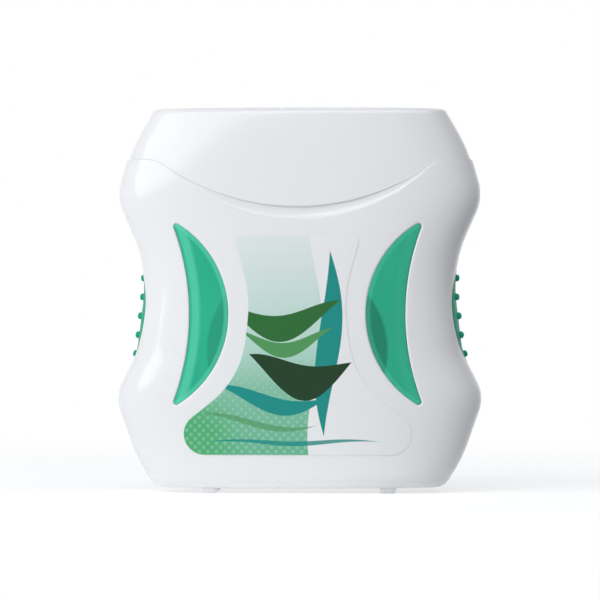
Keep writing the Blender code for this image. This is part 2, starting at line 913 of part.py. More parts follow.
def make_guide():
    """Tray that closes the body under the lid, with the floss nozzle and the cutter's pocket."""
    bottom, top = guide_heights()
    inset = wall + guide_gap
    guide = case_form("floss_guide", inset)
    shape(guide, box("cut_guide_slab", (-reach, -reach, bottom), (reach, reach, top)), "INTERSECT")
    core = case_form("cut_guide_core", inset + guide_wall)
    under = top - guide_plate
    shape(core, box("cut_core_slab", (-reach, -reach, -reach), (reach, reach, under)), "INTERSECT")
    shape(guide, core, "DIFFERENCE")
    floor = top - cutter_thickness - seam
    low = (-cutter_offset - cutter_length - seam, -cutter_width / 2 - seam, floor)
    high = (-cutter_offset + seam, cutter_width / 2 + seam, top + overrun)
    shape(guide, box("cut_cutter_pocket", low, high), "DIFFERENCE")
    nozzle = [
        (0, top - guide_plate / 2),
        (nozzle_radius, top - guide_plate / 2),
        (nozzle_radius, top + nozzle_height * nozzle_shoulder_share),
        (nozzle_radius * nozzle_tip_share, top + nozzle_height),
        (0, top + nozzle_height),
    ]
    place = Matrix.Translation((nozzle_offset, 0, 0))
    shape(guide, turned_object("add_nozzle", [(nozzle, nozzle_sides, place)]), "UNION")
    bore = [
        (0, under - overrun),
        (nozzle_bore, under - overrun),
        (nozzle_bore, top + nozzle_height + overrun),
        (0, top + nozzle_height + overrun),
    ]
    shape(guide, turned_object("cut_nozzle_bore", [(bore, nozzle_sides, place)]), "DIFFERENCE")
    paint(guide, "white_satin_guide", (0.80, 0.82, 0.83), 0.35)
    smooth(guide)
    return guide


def make_cutter():
    """Bent steel strip: a plate in the guide's pocket and an upright tongue with a notch."""
    _, top = guide_heights()
    front = -cutter_offset
    back = front - cutter_length
    low = top - cutter_thickness
    high = low + cutter_rise + cutter_thickness
    strip = [
        (back, low),
        (front, low),
        (front, high),
        (front - cutter_thickness, high),
        (front - cutter_thickness, top),
        (back, top),
    ]
    cutter = prism("cutter", strip, -cutter_width / 2, cutter_width / 2, "Y")
    foot = high - notch_depth
    notch = [
        (-notch_width / 2, foot + notch_width * notch_point_share),
        (0, foot),
        (notch_width / 2, foot + notch_width * notch_point_share),
        (notch_width / 2, high - notch_depth * notch_flare_share),
        (notch_mouth / 2, high + short_overrun),
        (-notch_mouth / 2, high + short_overrun),
        (-notch_width / 2, high - notch_depth * notch_flare_share),
    ]
    slot = prism("cut_notch", notch, front - cutter_thickness - overrun, front + overrun, "X")
    shape(cutter, slot, "DIFFERENCE")
    paint(cutter, "steel_cutter", (0.70, 0.71, 0.72), 0.25, metallic=1.0)
    return cutter


# Spool and floss


def make_spool():
    """Flanged spool that turns on the post, with its winding."""
    bore = spool_bore()
    hub = bore + hub_wall
    half = spool_half_length
    inside = half - spool_flange
    core = [
        (bore, -half),
        (spool_radius, -half),
        (spool_radius, -inside),
        (hub, -inside),
        (hub, inside),
        (spool_radius, inside),
        (spool_radius, half),
        (bore, half),
    ]
    place = Matrix.Rotation(-pi / 2, 4, "X")
    spool = turned_object("spool_core", [(core, spool_sides, place)])
    spool.location = (0, 0, spool_middle)
    paint(spool, "spool_plastic", (0.75, 0.80, 0.78), 0.4)
    smooth(spool)
    edge = inside - seam
    rim = winding_radius - winding_crown
    winding = [
        (hub + seam, -edge),
        (rim, -edge),
        (winding_radius, -edge * winding_flat_share),
        (winding_radius, edge * winding_flat_share),
        (rim, edge),
        (hub + seam, edge),
    ]
    wound = turned_object("floss_winding", [(winding, spool_sides, place)])
    wound.location = (0, 0, spool_middle)
    paint(wound, "floss_wound", (0.82, 0.84, 0.82), 0.7)
    smooth(wound)
    return spool, wound


def strand_route():
    """Held route of the floss: off the winding, through the nozzle and over the cutter."""
    _, top = guide_heights()
    lift = winding_radius + seam + strand_radius
    exit_point = Vector((nozzle_offset, top - guide_plate))
    centre = Vector((0, spool_middle))
    away = exit_point - centre
    lead = atan2(away.y, away.x) - acos(lift / away.length)
    points = []
    for back in lead_turns:
        turn = lead + back
        points.append((lift * cos(turn), spool_middle + lift * sin(turn)))
    notch_z = top + cutter_rise - notch_depth + notch_width * notch_point_share + strand_radius
    bend, past, midway, seat = [notch_z + strand_radius * share for share in strand_lift_shares]
    rest, end = [-cutter_offset - cutter_length * share for share in strand_rest_shares]
    points += [
        tuple(exit_point),
        (nozzle_offset, top + nozzle_height),
        (nozzle_offset - nozzle_bore, bend),
        (nozzle_offset - nozzle_radius * 2, past),
        (0, midway),
        (-cutter_offset, seat),
        (rest, notch_z),
        (end, (notch_z + top) / 2),
    ]
    return points


def smooth_points(points):
    """Points of a smooth curve through the route's own points."""
    out = []
    last = len(points) - 1
    for i in range(last):
        before, start = Vector(points[max(i - 1, 0)]), Vector(points[i])
        end, after = Vector(points[i + 1]), Vector(points[min(i + 2, last)])
        lead_out = start + (end - before) * handle_share
        lead_in = end - (after - start) * handle_share
        out += interpolate_bezier(start, lead_out, lead_in, end, strand_steps + 1)[:-1]
    return out + [Vector(points[last])]


def make_strand():
    """The floss between the winding and the cutter."""
    curve = bpy.data.curves.new("floss_strand", "CURVE")
    curve.dimensions = "3D"
    curve.bevel_depth = strand_radius
    curve.bevel_resolution = strand_sides_resolution
    curve.render_resolution_u = 0
    curve.use_fill_caps = True
    points = smooth_points(strand_route())
    spline = curve.splines.new("POLY")
    spline.points.add(len(points) - 1)
    for point, place in zip(spline.points, points):
        point.co = (place.x, 0, place.y, 1)
    strand = add_object("floss_strand", curve)
    paint(strand, "floss_thread", (0.88, 0.90, 0.88), 0.6)
    return strand


def build():
    """Clear the scene and model every piece."""
    for obj in list(bpy.data.objects):
        bpy.data.objects.remove(obj, do_unlink=True)
    forms = {
        "cavity": case_form("cut_cavity", wall),
        "wall_middle": case_form("keep_wall_middle", wall / 2),
        "inlay_back": case_form("cut_inlay_back", wall + seam + lip_thickness),
        "above_body": lid_space("cut_above_body", seam),
        "above_lid": lid_space("keep_above_lid", 0.0),
    }
    line = ellipse(grip_half_depth, grip_half_height, grip_middle)
    for side, word in ((-1, "left"), (1, "right")):
        near, far = side * half_width * side_start_share, side * reach
        forms["grip_hole_" + word] = prism("cut_grip_" + word, line, near, far, "X")
    make_front_shell(forms)
    make_rear_shell(forms)
    make_lid(forms)
    make_guide()
    make_cutter()
    for side, word in ((-1, "left"), (1, "right")):
        make_window(side, word, forms)
        make_grip(side, word, forms)
    make_label()
    make_spool()
    make_strand()
    for tool in forms.values():
        as_cutter(tool)


build()
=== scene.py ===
"""Pocket dental floss dispenser: its skins, soft pads, print and floss, laid out as an add-on."""

from math import acos, atan2, ceil, cos, hypot, pi, radians, sin, sqrt, tan
import bmesh
import bpy
import numpy as np
from bpy.props import FloatProperty, FloatVectorProperty, IntProperty, PointerProperty
from mathutils import Matrix, Vector
from mathutils.geometry import interpolate_bezier


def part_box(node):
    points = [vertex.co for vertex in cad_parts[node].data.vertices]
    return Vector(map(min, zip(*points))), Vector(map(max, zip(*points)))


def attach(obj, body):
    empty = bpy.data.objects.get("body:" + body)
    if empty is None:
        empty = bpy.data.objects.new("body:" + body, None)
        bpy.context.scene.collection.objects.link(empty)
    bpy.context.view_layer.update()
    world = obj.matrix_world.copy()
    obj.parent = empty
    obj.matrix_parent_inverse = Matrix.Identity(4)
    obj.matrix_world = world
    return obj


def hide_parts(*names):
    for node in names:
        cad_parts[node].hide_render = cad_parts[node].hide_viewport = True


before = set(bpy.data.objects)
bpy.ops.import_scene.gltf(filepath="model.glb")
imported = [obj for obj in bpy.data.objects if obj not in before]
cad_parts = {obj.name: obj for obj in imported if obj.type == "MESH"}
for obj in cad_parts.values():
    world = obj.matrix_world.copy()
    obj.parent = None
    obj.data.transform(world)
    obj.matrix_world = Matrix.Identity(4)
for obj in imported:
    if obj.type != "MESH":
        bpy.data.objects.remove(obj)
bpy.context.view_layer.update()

bl_info = {
    "name": "Pocket Floss Dispenser",
    "version": (1, 0, 0),
    "blender": (4, 5, 0),
    "location": "View3D > Sidebar > Floss",
    "description": "Builds the dressed pieces of a pocket dental floss dispenser",
    "category": "Object",
}

MM = 0.001

# Case outline seen from the front, from the top corner down: share of half width, share of height
OUTLINE_SHARES = (
    (0.9310, 0.8930),
    (1.0090, 0.7655),
    (0.8370, 0.5834),
    (0.8950, 0.3625),
    (1.0155, 0.2490),
    (0.8950, 0.0883),
)
TOP_CORNER_SHARE = 0.8080
BOTTOM_CORNER_SHARE = 0.7950
OUTLINE_FILLETS = (40.0 * MM, 7.0 * MM, 20.0 * MM, 8.6 * MM, 5.4 * MM, 35.0 * MM)

# Thumb scoop: shares of its height and depth at the top of its crest, at its deepest line and
# under the lid
SCOOP_SHARES = ((0.14, 0.72), (0.5, 1.0), (1.0, 0.95))

# How finely the forms are drawn: points across half the case, steps round its top and bottom
# edges, round a small rolled edge, along a crescent's sides, round its tips, where an even number
# leaves a middle point, across it, and round a grip
COLUMNS = 150
ROUND_STEPS = 9
EDGE_STEPS = 6
CRESCENT_STEPS = 40
TIP_STEPS = 12
FIELD_STEPS = 10
PAD_SIDES = 96

# Points across half the guide tray, a row of a wall that shows which way it faces, and rounds that
# bring the points of a section onto the lid's lower edge
TRAY_COLUMNS = 101
FACING_ROW = 20
PARTING_ROUNDS = 12

# Distance at which points count as one and faces as touching
TOUCH = 0.002 * MM

# Least radius of a drawn-in corner, least height of the rows under the rim, radius of the ends of
# the hinge's barrel and ears and of the feet's edges, and how far a cutting helper reaches past
LEAST_RADIUS = 0.25 * MM
RIM_ROOM = 0.35 * MM
PIN_ROLL = 0.25 * MM
PAST = 1.0 * MM

# Soft edge of the printed inks
INK_EDGE = 0.06 * MM

# Half width of the floor, height that the lamps face, width of the camera's sensor in its own
# millimetres, and plain white
FLOOR_REACH = 3.0
LIGHT_AIM = 30.0 * MM
SENSOR = 36.0
WHITE = (1.0, 1.0, 1.0, 1.0)


# Properties


def length(name, description, millimetres):
    """Length property with a default in millimetres."""
    return FloatProperty(
        name=name,
        description=description,
        default=millimetres * MM,
        min=0.0,
        precision=5,
        subtype="DISTANCE",
        unit="LENGTH",
    )


def channel_to_linear(value):
    """Linear light of one sRGB channel."""
    return value / 12.92 if value <= 0.04045 else ((value + 0.055) / 1.055) ** 2.4


def linear(hex_value):
    """Linear colour of an sRGB hex value."""
    return tuple(channel_to_linear(int(hex_value[k : k + 2], 16) / 255) for k in (0, 2, 4))


def colour(name, description, hex_value):
    """Colour property with an sRGB hex default."""
    return FloatVectorProperty(
        name=name,
        description=description,
        default=linear(hex_value),
        size=3,
        min=0.0,
        max=1.0,
        subtype="COLOR",
    )


class FLOSS_PG_case(bpy.types.PropertyGroup):
    """Sizes of the case, its lid parting and its thumb scoop."""

    width: length("Width", "Width between the corners that the outline is drawn through", 55.0)
    height: length("Height", "Height of the case on its feet", 58.2)
    depth: length("Depth", "Depth of the case at its belly", 20.5)
    foot: length("Foot", "Height of the feet", 0.45)
    top_crown: length("Top crown", "Rise of the top towards its middle", 0.4)
    bottom_crown: length("Bottom crown", "Rise of the bottom towards its edge", 0.35)
    top_fillet: length("Top edge", "Radius of the edge round the top", 1.2)
    bottom_fillet: length("Bottom edge", "Radius of the edge round the bottom", 2.0)
    wall: length("Wall", "Wall of the mouldings", 1.2)
    hairline: length("Hairline", "Gap between the two shells, as it shows", 0.05)
    edge_radius: length("Edge radius", "Radius of the shells' edges along their seam", 0.12)
    lid_gap: length("Lid gap", "Gap under the closed lid, as it shows", 0.012)
    rim_radius: length("Rim radius", "Radius of the body's upper edge", 0.035)
    lid_edge: length("Lid edge", "Radius of the lid's lower edge", 0.06)
    lid_brow: length("Lid brow", "Radius of the lid's lower edge over the thumb scoop", 0.22)
    foot_spacing: length("Foot spacing", "Distance between the two rows of feet", 26.8)
    foot_width: length("Foot width", "Width of a foot", 2.2)
    foot_length: length("Foot length", "Length of a foot", 5.0)
    foot_offset: length("Foot offset", "Distance of a foot from the middle plane", 4.0)
    power: FloatProperty(
        name="Section power",
        description="How square the rounded plan section is",
        default=3.4,
        min=2.0,
        max=8.0,
    )
    belly_share: FloatProperty(
        name="Belly", description="Share of the height where the case is deepest", default=0.464
    )
    thinning_share: FloatProperty(
        name="Thinning", description="Share of the depth lost at the top and bottom", default=0.205
    )
    lid_height: length("Lid height", "Height of the lid at the sides", 8.05)
    lid_step: length("Lid step", "How far the lid stands behind the body's surface", 0.22)
    smile_drop: length("Smile drop", "How far the lid's front edge dips in the middle", 7.2)
    smile_radius: length("Smile radius", "Radius of the lid's front edge", 36.0)
    smile_lead: length("Smile lead", "Radius that leads the smile out to the sides", 6.0)
    scoop_drop: length("Scoop drop", "Height of the thumb scoop under the lid", 1.95)
    scoop_depth: length("Scoop depth", "Greatest depth of the thumb scoop", 0.6)
    scoop_reach: length("Scoop reach", "Half width of the thumb scoop", 19.5)


class FLOSS_PG_hinge(bpy.types.PropertyGroup):
    """Sizes of the lid's hinge."""

    radius: length("Barrel radius", "Radius of the barrel and the ears", 1.2)
    barrel: length("Barrel half length", "Half length of the lid's barrel", 7.0)
    ear: length("Ear length", "Length of each of the body's ears", 3.0)
    peg: length("Peg length", "Length of the pegs at the barrel's ends", 1.9)
    peg_radius: length("Peg radius", "Radius of the pegs", 0.6)
    gap: length("Running gap", "Gap between the barrel and what it turns in", 0.3)


class FLOSS_PG_window(bpy.types.PropertyGroup):
    """Sizes of the crescent windows."""

    height: length("Height", "Height of a crescent", 27.0)
    middle_share: FloatProperty(
        name="Middle", description="Share of the case's height where the crescent sits", default=0.462
    )
    margin: length("Margin", "Distance from the case's side to the crescent", 7.8)
    width: length("Width", "Width of the crescent at its middle", 5.8)
    outer_radius: length("Outer radius", "Radius of the hollow side", 36.4)
    tip_radius: length("Tip radius", "Radius of the tips", 0.42)
    rim: length("Rim radius", "Radius of the hole's rolled edge", 0.34)
    recess: length("Recess", "How far the window lies behind the front", 0.12)
    roll: length("Window edge", "Radius of the window's own edge", 0.06)
    slack: length("Slack", "Gap between the window and its hole", 0.006)
    thickness: length("Thickness", "Thickness of the window", 1.3)


class FLOSS_PG_grip(bpy.types.PropertyGroup):
    """Sizes of the side grips."""

    half_height: length("Half height", "Half height of the pad", 7.2)
    half_depth: length("Half depth", "Half depth of the pad", 5.2)
    middle_share: FloatProperty(
        name="Middle", description="Share of the case's height where the pad sits", default=0.457
    )
    roll: length("Edge radius", "Radius of the pad's edge", 0.35)
    bump_radius: length("Bump radius", "Radius of a bump", 0.5)
    bump_height: length("Bump height", "Height of a bump", 0.55)
    pitch: length("Pitch", "Distance between bumps", 2.865)
    column: length("Column", "Distance between columns of bumps", 2.4)
    count: IntProperty(name="Bumps", description="Bumps in the middle column", default=5, min=1)


class FLOSS_PG_label(bpy.types.PropertyGroup):
    """Sizes of the label film."""

    thickness: length("Thickness", "Thickness of the film as it shows", 0.09)
    margin: length("Margin", "Distance from the windows", 3.4)
    top_margin: length("Top margin", "Distance from the lid's front edge", 4.35)
    bottom_margin: length("Bottom margin", "Distance from the floor", 5.1)
    top_flare: length("Top flare", "How much wider than its waist the top is", 2.6)
    hip_flare: length("Hip flare", "How much wider than its waist the hips are", 1.5)
    bottom_flare: length("Bottom flare", "How far the bottom's corners reach past the waist", 16.0)
    waist_rise: length("Waist rise", "How far the waist lies above the windows' middle", 2.7)
    hip_drop: length("Hip drop", "How far the hips lie below the windows' middle", 9.7)
    waist_fillet: length("Waist fillet", "Radius of the waist", 20.0)
    hip_fillet: length("Hip fillet", "Radius of the hips", 14.0)
    top_fillet: length("Top fillet", "Radius of the top corners", 1.0)
    bottom_fillet: length("Bottom fillet", "Radius of the bottom corners", 3.3)


class FLOSS_PG_spool(bpy.types.PropertyGroup):
    """Sizes of the spool, the guide, the cutter and the floss."""

    middle: length("Spool middle", "Height of the spool's axis", 21.4)
    radius: length("Spool radius", "Radius of the flanges", 13.6)
    half_length: length("Half length", "Half length of the spool", 6.0)
    flange: length("Flange", "Thickness of a flange", 0.9)
    bore: length("Bore", "Radius of the bore", 3.25)
    hub_wall: length("Hub wall", "Wall round the bore", 1.5)
    winding: length("Winding radius", "Radius of the wound floss", 12.5)
    strand: length("Floss radius", "Radius of the floss", 0.3)
    guide_drop: length("Guide drop", "How far the guide lies below the parting", 1.95)
    guide_gap: length("Guide gap", "Gap between the guide and the wall", 0.55)
    guide_wall: length("Guide wall", "Wall of the guide's skirt", 1.0)
    guide_plate: length("Guide plate", "Thickness of the guide's plate", 1.2)
    guide_roll: length("Guide edge", "Radius of the guide's upper edge", 0.45)
    nozzle_offset: length("Nozzle offset", "Distance of the nozzle from the middle", 7.0)
    nozzle_radius: length("Nozzle radius", "Outer radius of the nozzle", 2.1)
    nozzle_bore: length("Nozzle bore", "Radius of the nozzle's bore", 1.1)
    nozzle_height: length("Nozzle height", "Height of the nozzle above the plate", 1.3)
    cutter_offset: length("Cutter offset", "Distance of the cutter's tongue from the middle", 4.0)
    cutter_length: length("Cutter length", "Length of the cutter's plate", 4.6)
    cutter_width: length("Cutter width", "Width of the cutter", 6.0)
    cutter_rise: length("Cutter rise", "Height of the cutter's tongue", 3.4)
    cutter_thickness: length("Cutter thickness", "Thickness of the steel", 0.35)
    notch_width: length("Notch width", "Width of the cutting notch", 1.3)
    notch_depth: length("Notch depth", "Depth of the cutting notch", 1.3)


class FLOSS_PG_colours(bpy.types.PropertyGroup):
    """Colours of the finishes."""

    case: colour("Case", "White of the case", "EFF0F1")
    lid: colour("Lid", "White of the lid", "EFF0F1")
    guide: colour("Guide", "White of the floss guide", "E3E7E8")
    window: colour("Window", "Green of the crescent windows", "20BC94")
    # Painted highlight of the windows: a paler green along their edges, where the key light's reflection
    # falls
    window_highlight: colour("Window, highlight", "Green of the highlight painted along the window's edges", "5FE0BC")
    # Painted shade of the windows: a darker green where the spool stands in the dark behind them
    window_spool_shade: colour("Window, spool shade", "Green of the shade painted where the spool stands behind the window", "008C68")
    grip: colour("Grip", "Green of the side grips", "12AA86")
    spool: colour("Spool", "Plastic of the spool", "5E8E80")
    floss: colour("Floss", "Waxed floss", "E9EFEA")
    steel: colour("Steel", "Stainless steel", "C9CACB")
    print_top: colour("Print top", "Ground at the top of the label", "E4ECEB")
    print_middle: colour("Print middle", "Ground at the middle of the label", "B6DBCD")
    print_low: colour("Print low", "Ground in the lower third of the label", "84C3A6")
    print_bottom: colour("Print bottom", "Ground at the bottom of the label", "62B890")
    print_yellow: colour("Print corner", "Ground in the lower left corner", "3FAC66")
    print_teal: colour("Teal ink", "Ink of the teal ribbons", "008F87")
    print_leaf: colour("Green ink", "Ink of the upper green ribbon", "236B2F")
    print_mid: colour("Light green ink", "Ink of the lighter ribbons", "4F9858")
    print_dark: colour("Dark green ink", "Ink of the darkest ribbon", "0B3A18")


class FLOSS_PG_stage(bpy.types.PropertyGroup):
    """View of the photograph."""

    distance: length("Distance", "Distance of the camera", 600.0)
    frame_width: length("Frame width", "Width of what the camera sees at the object", 90.9)
    aim_height: length("Aim height", "Height that the camera looks at", 29.0)
    azimuth: FloatProperty(
        name="Azimuth",
        description="Turn of the camera towards the right side",
        default=radians(2.6),
        subtype="ANGLE",
        unit="ROTATION",
    )


GROUPS = {
    "floss_case": FLOSS_PG_case,
    "floss_hinge": FLOSS_PG_hinge,
    "floss_window": FLOSS_PG_window,
    "floss_grip": FLOSS_PG_grip,
    "floss_label": FLOSS_PG_label,
    "floss_spool": FLOSS_PG_spool,
    "floss_colours": FLOSS_PG_colours,
    "floss_stage": FLOSS_PG_stage,
}


# Outlines


def unit(vectors):
    """Vectors of length 1 in the same directions."""
    return vectors / np.maximum(np.linalg.norm(vectors, axis=-1, keepdims=True), 1e-18)


def quarter(steps, first=0):
    """Sine and cosine at even steps of a quarter turn."""
    turns = [pi / 2 * k / steps for k in range(first, steps + 1)]
    return [(sin(turn), cos(turn)) for turn in turns]


def slopes(surface, a, b):
    """Slopes of a surface along its two directions at a place."""
    h = 0.02 * MM
    first = (surface(a + h, b) - surface(a - h, b)) / (2 * h)
    return first, (surface(a, b + h) - surface(a, b - h)) / (2 * h)


def offset_outline(points, insets):
    """Move each side of an open outline to its right by its own inset and meet them again."""
    sides = []
    for (ax, az), (bx, bz), inset in zip(points, points[1:], insets):
        span = hypot(bx - ax, bz - az)
        nx, nz = (az - bz) / span, (bx - ax) / span
        sides.append((ax - nx * inset, az - nz * inset, bx - ax, bz - az))
    out = []
    for (px, pz, ux, uz), (qx, qz, vx, vz) in zip(sides, sides[1:]):
        t = ((qx - px) * vz - (qz - pz) * vx) / (ux * vz - uz * vx)
        out.append((px + ux * t, pz + uz * t))
    return out


def fillet(before, corner, after, radius, step):
    """Points of the arc that rounds a corner."""
    a, b, c = Vector(before), Vector(corner), Vector(after)
    u, v = (a - b).normalized(), (c - b).normalized()
    angle = acos(max(-1.0, min(1.0, u.dot(v))))
    tangent = min(radius / tan(angle / 2), 0.49 * (a - b).length, 0.49 * (c - b).length)
    radius = tangent * tan(angle / 2)
    centre = b + (u + v).normalized() * (radius / sin(angle / 2))
    start = b + u * tangent - centre
    sweep = pi - angle
    turn = 1 if u.cross(v) < 0 else -1
    count = max(3, ceil(sweep / step))
    first = atan2(start.y, start.x)
    steps = [first + turn * sweep * k / count for k in range(count + 1)]
    return [(centre.x + radius * cos(s), centre.y + radius * sin(s)) for s in steps]


class Form:
    """Surface of the case, drawn in by an inset: half width and half depth over the height."""

    def __init__(self, case, inset=0.0, top_inset=None):
        top_inset = inset if top_inset is None else top_inset
        half, tall = case.width / 2, case.height
        top, bottom = tall - case.top_crown, case.foot + case.bottom_crown
        corners = [(0.0, top), (half * TOP_CORNER_SHARE, top)]
        corners += [(half * x, tall * z) for x, z in OUTLINE_SHARES]
        corners += [(half * BOTTOM_CORNER_SHARE, bottom), (0.0, bottom)]
        inner = offset_outline(corners, [top_inset] + [inset] * (len(corners) - 2))
        inner = [(0.0, top - top_inset)] + inner + [(0.0, bottom + inset)]
        radii = [case.top_fillet, *OUTLINE_FILLETS, case.bottom_fillet]
        outline = []
        for a, b, c, radius in zip(inner, inner[1:], inner[2:], radii):
            convex = (b[0] - a[0]) * (c[1] - b[1]) - (b[1] - a[1]) * (c[0] - b[0]) < 0
            radius = max(radius - inset, LEAST_RADIUS) if convex else radius + inset
            outline += fillet(a, b, c, radius, step=0.02)
        outline = np.array(outline)[::-1]
        self.widths, self.heights = outline[:, 0], outline[:, 1]
        self.top, self.bottom = self.heights[-1], self.heights[0]
        self.top_round = max(case.top_fillet - inset, LEAST_RADIUS)
        self.bottom_round = max(case.bottom_fillet - inset, LEAST_RADIUS)
        self.case, self.inset = case, inset

    def width(self, z):
        """Half width at a height."""
        return np.interp(z, self.heights, self.widths)

    def depth(self, z):
        """Half depth at a height, with the top and bottom edges rounded."""
        case = self.case
        rise = (z - case.height * case.belly_share) / (case.height / 2)
        depth = case.depth / 2 * (1 - case.thinning_share * rise**2) - self.inset
        for edge, radius in ((self.top, self.top_round), (self.bottom, self.bottom_round)):
            into = np.clip(radius - abs(edge - z), 0.0, radius)
            depth = depth - (radius - np.sqrt(radius**2 - into**2))
        return depth

    def point(self, angle, z, side):
        """Points at angles from +X round the section, on the front (-1) or rear (+1) half."""
        c, s = np.cos(angle), np.abs(np.sin(angle))
        x = self.width(z) * np.sign(c) * np.abs(c) ** (2 / self.case.power)
        y = side * self.depth(z) * s ** (2 / self.case.power)
        return np.stack([x, y, z + 0 * x], axis=-1)

    def swell(self, share):
        """Share of its full reach that the section has at a share of the way out to its end."""
        power = self.case.power
        return (1 - np.clip(np.abs(share), 0.0, 1.0) ** power) ** (1 / power)

    def front(self, x, z):
        """Y of the front at a place."""
        return -self.depth(z) * self.swell(x / self.width(z))

    def side(self, y, z):
        """Distance of the side from the middle plane at a place."""
        return self.width(z) * self.swell(y / self.depth(z))

    def behind_front(self, x, z, depth):
        """Points at a depth behind the front, square to it."""
        dx, dz = slopes(self.front, x, z)
        normals = unit(np.stack([dx, -np.ones_like(dx), dz], axis=-1))
        return np.stack([x, self.front(x, z), z], axis=-1) - normals * depth

    def side_place(self, y, z, hand):
        """Points and outward directions on the left (-1) or right (+1) side."""
        dy, dz = slopes(self.side, y, z)
        normals = unit(np.stack([hand * np.ones_like(dy), -dy, -dz], axis=-1))
        return np.stack([hand * self.side(y, z), y, z], axis=-1), normals


class Section:
    """Even steps along a rounded plan section."""

    def __init__(self, case):
        # Fine steps, crowded at both ends of each quarter, where a small turn goes far
        eased = (1 - np.cos(np.linspace(0, pi, 801))) / 2
        self.angles = np.concatenate([eased * pi / 2, (1 + eased[1:]) * pi / 2])
        c, s = np.cos(self.angles), np.sin(self.angles)
        x = np.sign(c) * np.abs(c) ** (2 / case.power) * case.width / 2
        y = np.abs(s) ** (2 / case.power) * case.depth / 2
        steps = np.hypot(np.diff(x), np.diff(y))
        self.shares = np.concatenate([[0.0], np.cumsum(steps)]) / steps.sum()

    def angle(self, share, first=0.0):
        """Angle at a share of the way round, between a first angle and its mirror image."""
        low = np.interp(first, self.angles, self.shares)
        return np.interp(low + (1 - 2 * low) * share, self.shares, self.angles)


# Mesh helpers


def smooth(obj, angle=40.0):
    """Shade the round faces smooth and keep the edges sharp."""
    obj.data.shade_smooth()
    obj.data.set_sharp_from_angle(angle=radians(angle))


def new_object(name, mesh):
    """Object of a mesh, linked to the scene, smooth with sharp edges."""
    obj = bpy.data.objects.new(name, mesh)
    bpy.context.scene.collection.objects.link(obj)
    smooth(obj)
    return obj


def mesh_piece(name, verts, faces, merge=0.0005 * MM):
    """Mesh piece of points and faces, with double points joined and the faces turned outwards."""
    mesh = bpy.data.meshes.new(name)
    mesh.from_pydata(np.asarray(verts).tolist(), [], [tuple(int(i) for i in f) for f in faces])
    bm = bmesh.new()
    bm.from_mesh(mesh)
    bmesh.ops.remove_doubles(bm, verts=bm.verts, dist=merge)
    bmesh.ops.recalc_face_normals(bm, faces=bm.faces)
    bm.to_mesh(mesh)
    bm.free()
    return new_object(name, mesh)


def grid_faces(rows, columns, start=0, closed=False):
    """Quads of a grid of points that starts at an index."""
    faces = []
    for i in range(rows - 1):
        for j in range(columns if closed else columns - 1):
            a, b = start + i * columns + j, start + i * columns + (j + 1) % columns
            faces.append((a, b, b + columns, a + columns))
    return faces


def tube_faces(rings, sides):
    """Quads round a row of rings, with a face on each end."""
    last = (rings - 1) * sides
    ends = [tuple(range(sides)), tuple(range(last, last + sides))]
    return grid_faces(rings, sides, closed=True) + ends


def grid_normals(grid, closed=False):
    """Unit normals of a grid of points."""
    if closed:
        across = np.roll(grid, -1, axis=1) - np.roll(grid, 1, axis=1)
    else:
        across = np.gradient(grid, axis=1)
    return unit(np.cross(across, np.gradient(grid, axis=0)))


def rolled(points, normals, outward, radius, steps=5):
    """Rings of points that roll an edge over from the surface, straight in at the end."""
    turns = quarter(steps, 1)
    return [points + outward * radius * s - normals * radius * (1 - c) for s, c in turns]


def in_surface(points, normals, inner):
    """Directions in the surface, out of a patch, at the points of its closed edge."""
    along = np.roll(points, -1, axis=0) - np.roll(points, 1, axis=0)
    out = unit(np.cross(normals, along))
    return out * np.sign(np.sum(out * (points - inner), axis=-1, keepdims=True))


def turned(name, profile, place, sides=64):
    """Closed piece turned about an axis: profile of radius and height."""
    angles = 2 * pi * (np.arange(sides) + 0.5) / sides
    verts = [
        np.stack([radius * np.cos(angles), radius * np.sin(angles), 0 * angles + height], -1)
        for radius, height in profile
    ]
    faces = grid_faces(len(profile), sides, closed=True)
    if profile[0][0] > 0:
        last = (len(profile) - 1) * sides
        faces += [(last + j, last + (j + 1) % sides, (j + 1) % sides, j) for j in range(sides)]
    turn = np.array(place)
    return mesh_piece(name, np.concatenate(verts) @ turn[:3, :3].T + turn[:3, 3], faces)


def along_x(y, z):
    """Place that lays a turned piece's axis along +X."""
    return Matrix.Translation((0, y, z)) @ Matrix.Rotation(pi / 2, 4, "Y")


def along_y(x, z):
    """Place that lays a turned piece's axis along +Y."""
    return Matrix.Translation((x, 0, z)) @ Matrix.Rotation(-pi / 2, 4, "X")


def combine(piece, tool, operation):
    """Cut, join or keep what is common with a helper, and delete the helper."""
    step = piece.modifiers.new("shape", "BOOLEAN")
    step.operation = operation
    step.solver = "EXACT"
    step.object = tool
    bpy.context.view_layer.update()
    deps = bpy.context.evaluated_depsgraph_get()
    mesh = bpy.data.meshes.new_from_object(piece.evaluated_get(deps), depsgraph=deps)
    piece.modifiers.clear()
    old = piece.data
    mesh.name = old.name
    piece.data = mesh
    bpy.data.meshes.remove(old)
    bpy.data.objects.remove(tool, do_unlink=True)
    smooth(piece)
    return piece


def rounded_box(name, low, high, radius):
    """Box with rounded edges between two corners."""
    bm = bmesh.new()
    bmesh.ops.create_cube(bm, size=1.0)
    for vert in bm.verts:
        vert.co = Vector(a + (b - a) * (c + 0.5) for a, b, c in zip(low, high, vert.co))
    bmesh.ops.bevel(bm, geom=bm.edges, offset=radius, segments=4, profile=0.5, affect="EDGES")
    mesh = bpy.data.meshes.new(name)
    bm.to_mesh(mesh)
    bm.free()
    return new_object(name, mesh)


def dress(piece, body, material, node):
    """Give a piece its material, its body and the CAD node that it stands for."""
    piece.data.materials.clear()
    piece.data.materials.append(material)
    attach(piece, body)
    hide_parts(node)


# Lid parting and scoop


